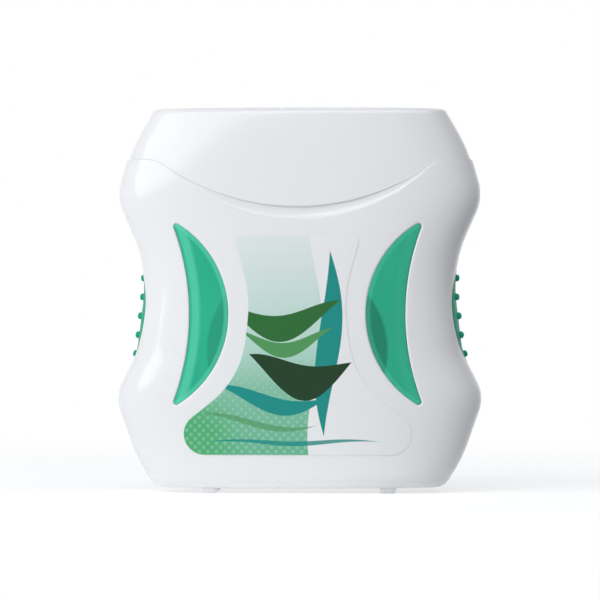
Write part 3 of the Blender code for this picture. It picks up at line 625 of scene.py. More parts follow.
def smile(case, x):
    """Height of the lid's lower edge across the front."""
    reach, lead, parting = case.smile_radius, case.smile_lead, case.height - case.lid_height
    swing = acos(1 - case.smile_drop / (reach + lead))
    inner, outer = reach * sin(swing), (reach + lead) * sin(swing)
    a = np.abs(x)
    arc = parting - case.smile_drop + reach - np.sqrt(reach**2 - np.minimum(a, inner) ** 2)
    out = parting - lead + np.sqrt(lead**2 - (outer - np.clip(a, inner, outer)) ** 2)
    return np.where(a < inner, arc, out)


def parting_edge(case, form, angle, side):
    """Height of the parting at each angle of the section."""
    z = np.full_like(angle, case.height - case.lid_height)
    if side > 0:
        return z
    for _ in range(PARTING_ROUNDS):
        z = smile(case, form.point(angle, z, side)[..., 0])
    return z


def scoop_low(case, x):
    """Lower edge of the thumb scoop."""
    low = case.height - case.lid_height - case.smile_drop - case.scoop_drop
    rise = smile(case, case.scoop_reach) - low
    radius = (case.scoop_reach**2 + rise**2) / (2 * rise)
    return low + radius - np.sqrt(radius**2 - np.minimum(np.abs(x), case.scoop_reach) ** 2)


def scoop_depth(case, x, z):
    """Depth of the thumb scoop at a place of the front."""
    low, edge = scoop_low(case, x), smile(case, x)
    room = np.maximum(edge - low, 1e-9)
    share = np.clip((z - low) / room, 0.0, 1.0)
    (crest, step), (middle, most), (_, top) = SCOOP_SHARES
    rise = step * np.sin(pi / 2 * np.minimum(share / crest, 1.0)) ** 1.3
    lower = most - (most - step) * ((middle - share) / (middle - crest)) ** 2
    upper = most - (most - top) * ((share - middle) / (1 - middle)) ** 2
    deep = np.where(share < crest, rise, np.where(share < middle, lower, upper))
    depth = case.scoop_depth * (edge - low) / case.scoop_drop * deep
    return np.where(np.abs(x) < case.scoop_reach, depth, 0.0)


# Shells


def spread(start, end, count, crowd=0.0):
    """Even shares from a start to an end, crowded towards both ends."""
    u = np.linspace(0.0, 1.0, count + 1)
    eased = (1 - np.cos(pi * u)) / 2
    u = u * (1 - crowd) + eased * crowd
    return start + (end - start) * u


def cap_rows(ring, form, level, crown, line, count):
    """Rows that close a ring of the section towards a middle line, with a crown."""
    width, depth, power = form.width(level), form.depth(level), form.case.power
    rows = []
    for share in np.linspace(1.0, 0.0, count + 1)[1:]:
        x, y = (ring[:, k] * share + line[:, k] * (1 - share) for k in (0, 1))
        reach = ((np.abs(x) / width) ** power + (np.abs(y) / depth) ** power) ** (1 / power)
        z = level + crown * (1 - np.minimum(reach, 1.0) ** 2)
        rows.append(np.stack([x, y, z], axis=-1))
    return rows


def wall_heights(form, edge, room, grip):
    """Heights of the wall's rows at each column, from its upper edge to the bottom edge."""
    case = form.case
    middle = case.height * grip.middle_share
    reach = grip.half_height + case.edge_radius
    waist = middle + reach + 3.0 * MM
    floor = case.foot + case.bottom_crown + case.bottom_fillet
    # Level rows from the waist to the grip, round it, down to the bottom edge and round that
    level = list(spread(waist, middle + reach, 6))[1:]
    level += list(middle + reach * np.cos(np.linspace(0, pi, 25)))[1:]
    level += list(spread(middle - reach, floor, 34))[1:]
    level += [form.bottom + form.bottom_round * (1 - s) for s, _ in quarter(ROUND_STEPS, 1)]
    # Rows that follow the rim down to the scoop's crease, and even out from there to the waist
    crease = edge - room
    rows = [edge + (crease - edge) * s for s in spread(0.0, 1.0, 9, 0.6)]
    rows += [crease + (waist - crease) * s for s in spread(0.0, 1.0, 24)][1:]
    rows += [np.full_like(edge, z) for z in level]
    return np.array(rows)


def grip_lead(case, grip, z, grow, lead):
    """How far a shell's side edge stands off the middle plane, round the grip."""
    middle = case.height * grip.middle_share
    rise = np.clip((z - middle) / (grip.half_height + grow), -1.0, 1.0)
    return np.maximum(lead, (grip.half_depth + grow) * np.sqrt(1 - rise**2))


def shell_patch(form, grip, side, rolls):
    """Grid of points of one half shell's surface; rolls are the radii of its rim and its seam.

    The halves all but touch inside, so that no light shows through the seam.
    """
    case, section = form.case, Section(form.case)
    rim, roll = rolls
    lead = (case.hairline if roll else TOUCH) / 2 + roll
    share = np.linspace(0.0, 1.0, COLUMNS)
    angle = section.angle(share)
    outer = Form(case)
    edge = parting_edge(case, outer, angle, side)
    room = np.full_like(edge, RIM_ROOM)
    if side < 0:
        x = outer.point(angle, edge, side)[:, 0]
        deep = np.maximum(edge - scoop_low(case, x), room)
        room = np.where(np.abs(x) < case.scoop_reach, deep, room)
    z = wall_heights(form, edge - case.lid_gap - rim, room, grip)
    leads = grip_lead(case, grip, z, roll, lead)
    first = np.arcsin(np.clip(leads / form.depth(z), 0.0, 1.0) ** (case.power / 2))
    points = form.point(section.angle(share, first), z, side)
    ring = points[-1]
    line = np.stack([ring[0, 0] * (1 - 2 * share), np.full_like(share, side * lead)], axis=-1)
    rows = cap_rows(ring, form, ring[0, 2], -case.bottom_crown, line, count=12)
    return np.concatenate([points, np.array(rows)])


def border(rows, columns):
    """Rows and columns of the points round a grid."""
    loop = [(0, j) for j in range(columns)]
    loop += [(i, columns - 1) for i in range(1, rows)]
    loop += [(rows - 1, j) for j in range(columns - 2, -1, -1)]
    loop += [(i, 0) for i in range(rows - 2, 0, -1)]
    return loop


def half_shell(name, case, grip, side):
    """Closed half shell with rolled edges; side is -1 for the front and +1 for the rear."""
    rim, seam = case.rim_radius, case.edge_radius
    outer = shell_patch(Form(case), grip, side, (rim, seam))
    inner = shell_patch(Form(case, case.wall), grip, side, (0.0, 0.0))
    if side < 0:
        outer[..., 1] += scoop_depth(case, outer[..., 0], outer[..., 2])
    rows, columns = outer.shape[:2]
    normals, probe = grid_normals(outer), (FACING_ROW, columns // 2)
    if np.sum(normals[probe] * (outer[probe] - (0.0, 0.0, case.height / 2))) < 0:
        normals = -normals
    kept = []
    for at in border(rows, columns):
        if not kept or np.linalg.norm(outer[at] - outer[kept[-1]]) > TOUCH:
            kept.append(at)
    edge = np.array([outer[at] for at in kept])
    inside = np.array([outer[min(max(i, 2), rows - 3), min(max(j, 2), columns - 3)] for i, j in kept])
    facing = np.array([normals[min(i, rows - 2), min(max(j, 1), columns - 2)] for i, j in kept])
    roll = np.array([[rim if i == 0 and 0 < j < columns - 1 else seam] for i, j in kept])
    rings = [edge, *rolled(edge, facing, in_surface(edge, facing, inside), roll)]
    rings.append(np.array([inner[at] for at in kept]))
    patch = rows * columns
    faces = grid_faces(rows, columns) + grid_faces(rows, columns, start=patch)
    faces += grid_faces(len(rings), len(kept), start=2 * patch, closed=True)
    return mesh_piece(name, np.concatenate([*outer, *inner, *rings]), faces)


def foot(case, hand, side):
    """Foot rib on the left (-1) or right (+1), under the front (-1) or rear (+1) half."""
    x, y = hand * case.foot_spacing / 2, side * case.foot_offset
    wide, far = case.foot_width / 2, case.foot_length / 2
    top = case.foot + case.bottom_crown + case.wall / 2
    return rounded_box("foot", (x - wide, y - far, 0.0), (x + wide, y + far, top), PIN_ROLL)


# Crescents


def crescent_sizes(case, window):
    """Distances of a crescent's hollow and round sides from the middle, the round one's radius, and
    the place of the upper tip's middle, its height counted from the crescent's own middle."""
    outer = float(Form(case).width(case.height * window.middle_share)) - window.margin
    inner = outer - window.width
    tip_z = window.height / 2 - window.tip_radius
    sweep = window.outer_radius + window.tip_radius
    tip_x = outer + window.outer_radius - sqrt(sweep**2 - tip_z**2)
    room = tip_x - inner
    radius = (room**2 + tip_z**2 - window.tip_radius**2) / (2 * (room - window.tip_radius))
    return outer, inner, radius, tip_x, tip_z


def crescent(case, window, side, grow):
    """Loop of points round a crescent, as x and z: one side up, the tip, the other side down."""
    outer, inner, radius, tip_x, tip_z = crescent_sizes(case, window)
    share = np.linspace(-1.0, 1.0, CRESCENT_STEPS + 1)
    sides, ends = [], []
    for centre, reach in (
        (inner + radius, radius + grow),
        (outer + window.outer_radius, window.outer_radius - grow),
    ):
        ends.append(atan2(tip_z, centre - tip_x))
        turn = ends[-1] * share
        sides.append(np.stack([centre - reach * np.cos(turn), reach * np.sin(turn)], -1))
    around = np.linspace(pi - ends[0], -ends[1], TIP_STEPS + 1)[1:-1]
    tip = window.tip_radius + grow
    cap = np.stack([tip_x + tip * np.cos(around), tip_z + tip * np.sin(around)], -1)
    loop = np.concatenate([sides[0], cap, sides[1][::-1], (cap * (1, -1))[::-1]])
    return loop * (side, 1) + (0, case.height * window.middle_share)


def crescent_rungs(count):
    """Pairs of points across a crescent loop, from the lower tip to the upper one."""
    cap = TIP_STEPS - 1
    up = count // 2 - cap
    left, top = range(up), range(up, up + cap)
    right, bottom = range(up + cap, 2 * up + cap)[::-1], range(2 * up + cap, count)
    half = cap // 2
    rungs = [(bottom[half + k], bottom[half - k]) for k in range(half + 1)]
    rungs += list(zip(left, right))
    return rungs + [(top[k], top[cap - 1 - k]) for k in range(half + 1)]


def crescent_cap(count, start):
    """Faces that close a crescent loop, rung by rung."""
    rungs = crescent_rungs(count)
    return [
        tuple(start + k for k in dict.fromkeys((a, c, d, b)))
        for (a, b), (c, d) in zip(rungs, rungs[1:])
    ]


def window_hole(case, window, side):
    """Helper that cuts a crescent hole with a rolled edge."""
    form, roll = Form(case), window.rim
    levels = [(roll, -PAST), (roll, 0.0)]
    levels += [(roll * (1 - s), roll * (1 - c)) for s, c in quarter(EDGE_STEPS, 1)]
    levels.append((0.0, case.wall + 1.5 * PAST))
    rings = []
    for grow, depth in levels:
        x, z = crescent(case, window, side, grow).T
        rings.append(np.stack([x, form.front(x, z) + depth, z], axis=-1))
    count = len(rings[0])
    faces = grid_faces(len(rings), count, closed=True)
    faces += crescent_cap(count, 0) + crescent_cap(count, (len(rings) - 1) * count)
    return mesh_piece("window_hole", np.concatenate(rings), faces)


# Materials


def feed(node, feeds=(), **settings):
    """Set a node's fields and sockets, and feed its inputs with nodes, sockets or values.

    A node feeds the input by its first output in use.
    """
    for key, value in settings.items():
        if hasattr(node, key):
            setattr(node, key, value)
        else:
            node.inputs[key.replace("_", " ")].default_value = value
    for source, target in feeds:
        if isinstance(source, bpy.types.Node):
            source = next(socket for socket in source.outputs if socket.enabled)
        if isinstance(source, bpy.types.NodeSocket):
            node.id_data.links.new(source, node.inputs[target])
        else:
            node.inputs[target].default_value = source
    return node


def add(nodes, kind, at, feeds=(), **settings):
    """Add a node at a place, with its settings and what feeds it."""
    node = nodes.new("ShaderNode" + kind)
    node.location = at
    return feed(node, feeds, **settings)


def new_material(name):
    """Principled material; returns it with its nodes, its shader and the place on the piece."""
    material = bpy.data.materials.new(name)
    material.use_nodes = True
    nodes = material.node_tree.nodes
    place = add(nodes, "TexCoord", (-3400, 0)).outputs["Object"]
    return material, nodes, nodes["Principled BSDF"], place


def mottled(nodes, place, at, tint, scale, depth, detail=3.0, start=0.3):
    """Colour that drifts between a tint and a darker one, over waves of 1/scale metres."""
    noise = add(nodes, "TexNoise", at, [(place, "Vector")], Scale=scale, Detail=detail)
    ramp = add(nodes, "ValToRGB", (at[0] + 220, at[1]), [(noise, "Fac")])
    stops = ramp.color_ramp.elements
    for stop, position, share in ((stops[0], start, depth), (stops[1], 1 - start, 1.0)):
        stop.position = position
        stop.color = (*(c * share for c in tint), 1.0)
    return ramp


def grained(name, tint, drift, grain, **values):
    """Finish with a drifting tint and a fine grain.

    drift is the waves of the tint per metre and the share of the darker tint, grain the waves
    of the grain per metre, its strength and its height.
    """
    material, nodes, shader, place = new_material(name)
    scale, strength, height = grain
    relief = add(nodes, "TexNoise", (-760, -200), [(place, "Vector")], Scale=scale)
    bump = add(nodes, "Bump", (-300, -200), [(relief, "Height")], Strength=strength, Distance=height)
    shade = mottled(nodes, place, (-760, 200), tint, *drift)
    feed(shader, [(shade, "Base Color"), (bump, "Normal")], **values)
    return material


def gloss_abs(name, tint):
    """Gloss ABS, moulded in a polished tool: an even white with a soft orange peel in its gloss."""
    # Flow marks of the melt, some 12 mm long, hardly shift the white; the peel's waves are 1.4 mm
    return grained(name, tint, (80.0, 0.985), (700.0, 0.03, 0.2 * MM), Roughness=0.12, IOR=1.53)


def soft_tpe(name, tint):
    """Soft TPE, moulded in a blasted tool: a dull green with a fine grain."""
    # Grain of the blasted tool, 0.2 mm; the tint drifts over some 3 mm
    return grained(
        name, tint, (330.0, 0.93), (5000.0, 0.2, 0.1 * MM),
        Roughness=0.45, IOR=1.5, Sheen_Weight=0.05, Specular_IOR_Level=0.15,
    )


def satin_pp(name, tint):
    """Polypropylene, moulded satin: a waxy colour with faint flow marks and a broad gloss."""
    # Flow marks of some 5 mm, and tool marks of 0.3 mm in the gloss
    return grained(name, tint, (200.0, 0.95), (3300.0, 0.1, 0.1 * MM), Roughness=0.36, IOR=1.49)


def waxed_floss(tint):
    """Waxed nylon floss: fine filaments, soft white with a dull sheen; made once for both pieces."""
    name = "waxed_floss"
    # Filaments of the yarn, about 0.05 mm; the wax shifts the white over some 2 mm
    grain = (18000.0, 0.3, 0.05 * MM)
    return bpy.data.materials.get(name) or grained(
        name, tint, (500.0, 0.92), grain, Roughness=0.5, Sheen_Weight=0.2
    )


def steel(name, tint):
    """Stainless strip, rolled and stamped: a bright grey with fine lines along the strip."""
    material, nodes, shader, place = new_material(name)
    # Rolling lines 0.06 mm apart across the strip's width and long in the other directions
    drawn = add(nodes, "Mapping", (-1000, 0), [(place, "Vector")], Scale=(400.0, 16000.0, 400.0))
    lines = add(nodes, "TexNoise", (-800, -200), [(drawn, "Vector")], Scale=1.0)
    blur = add(nodes, "MapRange", (-500, 0), [(lines, "Value")], To_Min=0.2, To_Max=0.36)
    bump = add(nodes, "Bump", (-300, -200), [(lines, "Height")], Strength=0.1, Distance=0.05 * MM)
    shade = mottled(nodes, place, (-760, 300), tint, 500.0, 0.94)
    feed(shader, [(shade, "Base Color"), (blur, "Roughness"), (bump, "Normal")], Metallic=1.0)
    return material


def layered(nodes, ground, layers, at):
    """Colour of a ground with tints laid over it in turn, each by its factor."""
    for row, (factor, tint) in enumerate(layers):
        feeds = [(factor, 0), (ground, 6), ((*tint, 1.0), 7)]
        ground = add(nodes, "Mix", (at[0] + 180 * row, at[1]), feeds, data_type="RGBA")
    return ground


def tinted_san(name, side, scene):
    """Tinted SAN resin, moulded clear: saturated green, with a painted highlight along its edges and
    painted shade where the spool stands close behind it."""
    case, window, spool = scene.floss_case, scene.floss_window, scene.floss_spool
    colours = scene.floss_colours
    material, nodes, shader, place = new_material(name)
    # Flow lines of the melt, some 3 mm apart and drawn out along the crescent
    drawn = add(nodes, "Mapping", (-1800, 300), [(place, "Vector")], Scale=(330.0, 330.0, 60.0))
    ground = mottled(nodes, drawn, (-1600, 300), colours.window, 1.0, 0.9, detail=2.0, start=0.35)
    # Distances from the centres of the spool, the hollow side and the round side
    outer, inner, round_radius = crescent_sizes(case, window)[:3]
    middle, hollow_radius = case.height * window.middle_share, window.outer_radius
    flat = add(
        nodes, "VectorMath", (-1800, 0), [(place, 0), ((1.0, 0.0, 1.0), 1)], operation="MULTIPLY"
    )
    hub, hollow, bulge = (
        add(
            nodes, "VectorMath", (-1600, -200 * row), [(flat, 0), ((side * x, 0.0, z), 1)],
            operation="DISTANCE",
        )
        for row, (x, z) in enumerate(
            ((0.0, spool.middle), (outer + hollow_radius, middle), (inner + round_radius, middle))
        )
    )
    # Painted shade over the spool's flange behind the window, the painted highlight streak along the
    # hollow side, the plain green brought back at its very edge where that streak stops, and the painted
    # highlight inside the round side: where each starts and is full, in millimetres past a radius
    # The left window faces the key light: its painted highlights are stronger and its painted spool
    # shade weaker
    pale, strong = colours.window_highlight, side < 0
    layers = []
    for row, (reach, radius, start, full, share, tint) in enumerate((
        (hub, spool.radius, 0.15, -0.35, 0.5 if strong else 0.95, colours.window_spool_shade),
        (hollow, hollow_radius, 2.0, 1.1, 0.62 if strong else 0.12, pale),
        (hollow, hollow_radius, 0.55, 0.2, 0.8, colours.window),
        (bulge, round_radius, -0.75, -0.5, 0.5 if strong else 0.25, pale),
    )):
        factor = add(
            nodes, "MapRange", (-1200, -250 * row), [(reach, "Value")], To_Max=share,
            interpolation_type="SMOOTHERSTEP", From_Min=radius + start * MM, From_Max=radius + full * MM,
        )
        layers.append((factor, tint))
    shown = layered(nodes, ground, layers, (-1000, 100))
    feed(
        shader, [(shown, "Base Color")],
        Roughness=0.08, IOR=1.47, Transmission_Weight=0.08, Specular_IOR_Level=0.3,
    )
    return material


def ribbon(nodes, along, across, at, span, line, width):
    """Factor of a ribbon of ink: it winds about a line and tapers to both ends of its span.

    span is its start and end along, line its place across, its swing, its turns and its phase.
    """
    start, end = span
    middle, swing, turns, phase = line
    share = add(nodes, "MapRange", at, [(along, "Value")], From_Min=start, From_Max=end)
    # How far a place is off the winding line, and how far the ribbon's full ink reaches there
    wave = (("MULTIPLY_ADD", 2 * pi * turns, phase), ("SINE",), ("MULTIPLY_ADD", swing, middle))
    taper = (("MULTIPLY", pi), ("SINE",), ("MULTIPLY_ADD", width / 2, -INK_EDGE))
    results = []
    for row, steps in enumerate(((*wave, ("SUBTRACT", across), ("ABSOLUTE",)), taper)):
        value = share
        for column, (operation, *terms) in enumerate(steps, 1):
            spot = (at[0] + 180 * column, at[1] + 80 - 160 * row)
            feeds = [(value, 0), *((term, k) for k, term in enumerate(terms, 1))]
            value = add(nodes, "Math", spot, feeds, operation=operation)
        results.append(value)
    off, full = results
    edge = add(nodes, "Math", (at[0] + 720, at[1] - 80), [(full, 0), (INK_EDGE, 1)])
    feeds = [(off, "Value"), (full, "From Min"), (edge, "From Max")]
    return add(nodes, "MapRange", (at[0] + 1080, at[1]), feeds, To_Min=1.0, To_Max=0.0)


def printed_film(name, colours):
    """Clear polypropylene film, printed on its left part: flat inks under a gloss varnish."""
    material, nodes, shader, place = new_material(name)
    split = add(nodes, "SeparateXYZ", (-3200, 0), [(place, "Vector")])
    x, z = split.outputs["X"], split.outputs["Z"]
    # Ground of the print: pale at the top, mint below, yellower towards the lower left corner
    rise = add(nodes, "MapRange", (-3000, 400), [(z, "Value")], From_Min=6.0 * MM, From_Max=38.0 * MM)
    ground = add(nodes, "ValToRGB", (-2800, 400), [(rise, "Fac")])
    stops = ground.color_ramp.elements
    stops[0].color = (*colours.print_bottom, 1.0)
    stops[1].color = (*colours.print_top, 1.0)
    for position, tint in ((0.3, colours.print_low), (0.5, colours.print_middle)):
        stops.new(position).color = (*tint, 1.0)
    corner = add(
        nodes, "VectorMath", (-3000, 700), [(place, 0), ((-15.5 * MM, -10.0 * MM, 8.0 * MM), 1)],
        operation="DISTANCE",
    )
    corner = add(
        nodes, "MapRange", (-2800, 700), [(corner, "Value")], interpolation_type="SMOOTHSTEP",
        From_Min=2.0 * MM, From_Max=9.0 * MM, To_Min=0.8, To_Max=0.0,
    )
    # Halftone: pale dots in slanting rows 0.9 mm apart, smaller towards the top
    pitch = 0.9 * MM
    dots = add(nodes, "Mapping", (-3000, -400), [(place, "Vector")], Rotation=(0.0, pi / 4, 0.0))
    for row, (operation, *terms) in enumerate((
        ("WRAP", (pitch, 1.0, pitch), (0.0, 0.0, 0.0)),
        ("SUBTRACT", (pitch / 2, 0.0, pitch / 2)),
        ("MULTIPLY", (1.0, 0.0, 1.0)),
        ("LENGTH",),
    )):
        feeds = [(dots, 0), *((term, k) for k, term in enumerate(terms, 1))]
        dots = add(nodes, "VectorMath", (-2800 + 200 * row, -400), feeds, operation=operation)
    size = add(
        nodes, "MapRange", (-2400, -650), [(z, "Value")],
        From_Min=8.0 * MM, From_Max=27.0 * MM, To_Min=0.27 * MM, To_Max=-0.04 * MM,
    )
    rim = add(nodes, "Math", (-2200, -650), [(size, 0), (INK_EDGE, 1)])
    feeds = [(dots, "Value"), (size, "From Min"), (rim, "From Max")]
    dots = add(nodes, "MapRange", (-2000, -400), feeds, To_Min=0.17, To_Max=0.0)
    # The print ends along a flowing line; to the right of it the film is clear over the white case
    flow = add(nodes, "Math", (-3000, 1000), [(z, 0), (2 * pi / (34.0 * MM), 1)], operation="MULTIPLY")
    flow = add(nodes, "Math", (-2800, 1000), [(flow, 0)], operation="SINE")
    feeds = [(flow, 0), (-1.1 * MM, 1), (2.6 * MM, 2)]
    flow = add(nodes, "Math", (-2600, 1000), feeds, operation="MULTIPLY_ADD")
    ends = add(nodes, "Math", (-2400, 1000), [(flow, 0), (INK_EDGE, 1)])
    feeds = [(x, "Value"), (flow, "From Min"), (ends, "From Max")]
    clear = add(nodes, "MapRange", (-2200, 1000), feeds)
    layers = [(corner, colours.print_yellow), (dots, colours.print_top), (clear, colours.case)]
    # Ribbons of ink: the axis along, span, line, width, ink and strength, lengths in millimetres
    for row, (axis, span, line, width, tint, strength) in enumerate((
        ("z", (36.5, 8.5), (4.6, 0.8, 0.8, 0.4), 3.5, colours.print_teal, 1.0),
        ("x", (-10.5, 6.6), (27.0, 2.3, 0.75, 2.6), 4.0, colours.print_leaf, 1.0),
        ("x", (-8.6, 5.4), (23.4, 1.9, 0.75, 2.5), 2.3, colours.print_mid, 1.0),
        ("x", (-7.2, 8.2), (19.0, 2.4, 0.7, 2.2), 5.4, colours.print_dark, 1.0),
        ("x", (-12.0, 4.6), (14.6, 1.7, 0.7, 1.8), 2.6, colours.print_teal, 1.0),
        ("x", (-14.8, 3.2), (10.9, 1.2, 0.7, 1.4), 1.0, colours.print_mid, 0.7),
        ("x", (-14.0, 13.0), (7.8, 0.25, 1.5, 0.0), 0.75, colours.print_teal, 0.9),
    )):
        along, across = (z, x) if axis == "z" else (x, z)
        at, line = (-3000, -1000 - 300 * row), (line[0] * MM, line[1] * MM, *line[2:])
        cover = ribbon(nodes, along, across, at, [end * MM for end in span], line, width * MM)
        feeds = [(cover, 0), (strength, 1)]
        layers.append((add(nodes, "Math", (-1700, at[1]), feeds, operation="MULTIPLY"), tint))
    ink = layered(nodes, ground, layers, (-2000, 400))
    feed(shader, [(ink, "Base Color")], Roughness=0.16, IOR=1.49, Specular_IOR_Level=0.3)
    return material


# Pieces


class FLOSS_OT_front_shell(bpy.types.Operator):
    """Build the front half of the case with its scoop and window holes"""

    bl_idname = "floss.front_shell"
    bl_label = "Front Shell"

    def execute(self, context):
        scene = context.scene
        case, grip, window = scene.floss_case, scene.floss_grip, scene.floss_window
        shell = half_shell("front_skin", case, grip, -1)
        for side in (-1, 1):
            combine(shell, window_hole(case, window, side), "DIFFERENCE")
            combine(shell, foot(case, side, -1), "UNION")
        material = gloss_abs("gloss_abs_front", scene.floss_colours.case)
        dress(shell, "housing", material, "front_shell")
        return {"FINISHED"}


class FLOSS_OT_rear_shell(bpy.types.Operator):
    """Build the rear half of the case with its hinge ears"""

    bl_idname = "floss.rear_shell"
    bl_label = "Rear Shell"

    def execute(self, context):
        scene = context.scene
        case, hinge = scene.floss_case, scene.floss_hinge
        shell = half_shell("rear_skin", case, scene.floss_grip, 1)
        place = along_x(*hinge_line(case))
        start, end = hinge.barrel + hinge.gap, hinge.barrel + hinge.gap + hinge.ear
        for side in (-1, 1):
            ear = pill(*sorted((side * start, side * end)), hinge.radius, PIN_ROLL)
            combine(shell, turned("ear", ear, place), "UNION")
            combine(shell, foot(case, side, 1), "UNION")
        swing, reach = hinge.radius + hinge.gap, hinge.barrel + hinge.peg + hinge.gap
        socket = hinge.peg_radius + 0.22 * MM
        room = mirrored([(0, reach), (socket, reach), (socket, start), (swing, start)])
        combine(shell, turned("room", room, place), "DIFFERENCE")
        material = gloss_abs("gloss_abs_rear", scene.floss_colours.case)
        dress(shell, "housing", material, "rear_shell")
        return {"FINISHED"}


def hinge_line(case):
    """Depth and height of the hinge line, on the body's rear surface."""
    z = case.height - case.lid_height
    return float(Form(case).depth(z)), z


def mirrored(half, between=()):
    """Profile of two like ends with what lies between them; half is the upper end, inwards."""
    return [(radius, -height) for radius, height in half] + list(between) + half[::-1]


def pill(start, end, radius, roll):
    """Profile of a pin with rounded ends."""
    edge = [(radius - roll * (1 - s), roll * (1 - c)) for s, c in quarter(4)]
    profile = [(0, start)] + [(reach, start + into) for reach, into in edge]
    return profile + [(reach, end - into) for reach, into in edge[::-1]] + [(0, end)]


class FLOSS_OT_lid(bpy.types.Operator):
    """Build the flip lid with its hinge barrel"""

    bl_idname = "floss.lid"
    bl_label = "Lid"

    def execute(self, context):
        scene = context.scene
        case, hinge = scene.floss_case, scene.floss_hinge
        lid = lid_shell("lid_skin", case)
        place = along_x(*hinge_line(case))
        # Room for the two ears, then the barrel with its pegs
        start, swing = hinge.barrel - hinge.gap / 2, hinge.radius + hinge.gap
        end = hinge.barrel + hinge.gap + hinge.ear + hinge.gap
        for side in (-1, 1):
            low, high = sorted((side * start, side * end))
            room = [(0, low), (swing, low), (swing, high), (0, high)]
            combine(lid, turned("room", room, place), "DIFFERENCE")
        reach, peg = hinge.barrel + hinge.peg, hinge.peg_radius
        barrel = pill(-hinge.barrel, hinge.barrel, hinge.radius, PIN_ROLL)[1:-1]
        barrel = mirrored([(0, reach), (peg, reach), (peg, hinge.barrel)], barrel)
        combine(lid, turned("barrel", barrel, place), "UNION")
        material = gloss_abs("gloss_abs_lid", scene.floss_colours.lid)
        dress(lid, "lid", material, "lid")
        return {"FINISHED"}


def medial_line(ring, form, level):
    """Middle line that the rows of a cap run towards: x share of the ring, on the middle plane."""
    reach = form.width(level) - form.depth(level)
    scale = reach / form.width(level)
    return np.stack([ring[:, 0] * scale, 0 * ring[:, 0]], axis=-1)


def brow(case, body, angle, side):
    """Radius of the lid's lower edge: larger over the thumb scoop."""
    if side > 0:
        return np.full_like(angle, case.lid_edge)
    z = parting_edge(case, body, angle, side)
    share = np.abs(body.point(angle, z, side)[:, 0]) / case.scoop_reach
    # Falls off slowly from the middle and fast over the scoop's last sixth
    eased = np.clip(1.15 - share, 0.0, 1.0) ** 0.5 * np.clip((1 - share) * 6, 0.0, 1.0)
    return case.lid_edge + (case.lid_brow - case.lid_edge) * np.minimum(eased, 1.0)


def lid_side(form, body, angle, lifts):
    """Grid of a lid's upper edge and side, all round, down to a lift above the parting."""
    below, halves = form.top - form.top_round, []
    for side, lift in zip((-1, 1), lifts):
        edge = parting_edge(form.case, body, angle, side) + lift
        rows = [np.full_like(edge, form.top - form.top_round * (1 - c)) for _, c in quarter(ROUND_STEPS)]
        rows += [below + (edge - below) * s for s in spread(0.0, 1.0, 22, 0.3)][1:]
        halves.append(form.point(angle, np.array(rows), side))
    return np.concatenate([halves[0], halves[1][:, ::-1][:, 1:-1]], axis=1)


def lid_shell(name, case):
    """Hollow lid with a crowned top and a rolled lower edge."""
    body, inner_lift = Form(case), 0.6 * MM
    angle = Section(case).angle(np.linspace(0.0, 1.0, COLUMNS))
    brows = [brow(case, body, angle, side) for side in (-1, 1)]
    patches = []
    for form, lifts in (
        (Form(case, case.lid_step, 0.0), brows),
        (Form(case, case.lid_step + case.wall, case.wall), (inner_lift, inner_lift)),
    ):
        sides = lid_side(form, body, angle, lifts)
        line = medial_line(sides[0], form, form.top)
        rows = cap_rows(sides[0], form, form.top, case.top_crown, line, count=14)[::-1]
        patches.append(np.concatenate([np.array(rows), sides]))
    outer, inner = patches
    rows, columns = outer.shape[:2]
    normals = grid_normals(outer, closed=True)
    if normals[FACING_ROW, 0, 0] < 0:
        normals = -normals
    edge, facing = outer[-1], normals[-1]
    roll = np.concatenate([brows[0], brows[1][::-1][1:-1]])[:, None]
    rings = [edge, *rolled(edge, facing, in_surface(edge, facing, outer[-3]), roll, steps=8), inner[-1]]
    faces = grid_faces(rows, columns, closed=True)
    faces += grid_faces(rows, columns, start=rows * columns, closed=True)
    faces += grid_faces(len(rings), columns, start=2 * rows * columns, closed=True)
    return mesh_piece(name, np.concatenate([*outer, *inner, *rings]), faces)


class FLOSS_OT_windows(bpy.types.Operator):
    """Build the two crescent windows"""

    bl_idname = "floss.windows"
    bl_label = "Windows"

    def execute(self, context):
        scene = context.scene
        case, window = scene.floss_case, scene.floss_window
        for side, word in ((-1, "left"), (1, "right")):
            piece = crescent_piece("crescent_" + word, case, window, side)
            material = tinted_san("tinted_san_" + word, side, scene)
            dress(piece, "housing", material, "window_" + word)
        return {"FINISHED"}


def crescent_piece(name, case, window, side):
    """Closed crescent with a rolled edge, just behind the front."""
    form, slack, roll = Form(case), window.slack, window.roll
    front, back = window.recess, window.recess + window.thickness
    turns = quarter(EDGE_STEPS)[::-1]
    levels = [(-slack, back)]
    levels += [(-slack - roll * (1 - s), front + roll * (1 - c)) for s, c in turns]
    rings = [
        form.behind_front(*crescent(case, window, side, grow).T, depth) for grow, depth in levels
    ]
    count = len(rings[0])
    verts = np.concatenate(rings)
    faces = grid_faces(len(rings), count, closed=True)
    last = (len(rings) - 1) * count
    for ring, depth, start in ((rings[-1], front, last), (rings[0], back, 0)):
        more, points = crescent_field(form, ring, depth, len(verts), start)
        faces, verts = faces + more, np.concatenate([verts, points])
    return mesh_piece(name, verts, faces)


def crescent_field(form, ring, depth, index, start):
    """Faces across a crescent, with points between its two sides."""
    table, points = [], []
    share = np.arange(1, FIELD_STEPS)[:, None] / FIELD_STEPS
    for a, b in crescent_rungs(len(ring)):
        row = [start + a]
        if a != b:
            x, _, z = (ring[a] + (ring[b] - ring[a]) * share).T
            row += range(index + len(points), index + len(points) + len(share))
            points += list(form.behind_front(x, z, depth))
            row.append(start + b)
        table.append(row)
    faces = []
    for lower, upper in zip(table, table[1:]):
        wide = max(len(lower), len(upper))
        lower, upper = (row * wide if len(row) == 1 else row for row in (lower, upper))
        for corners in zip(lower, lower[1:], upper[1:], upper):
            faces.append(tuple(dict.fromkeys(corners)))
    return faces, np.array(points)


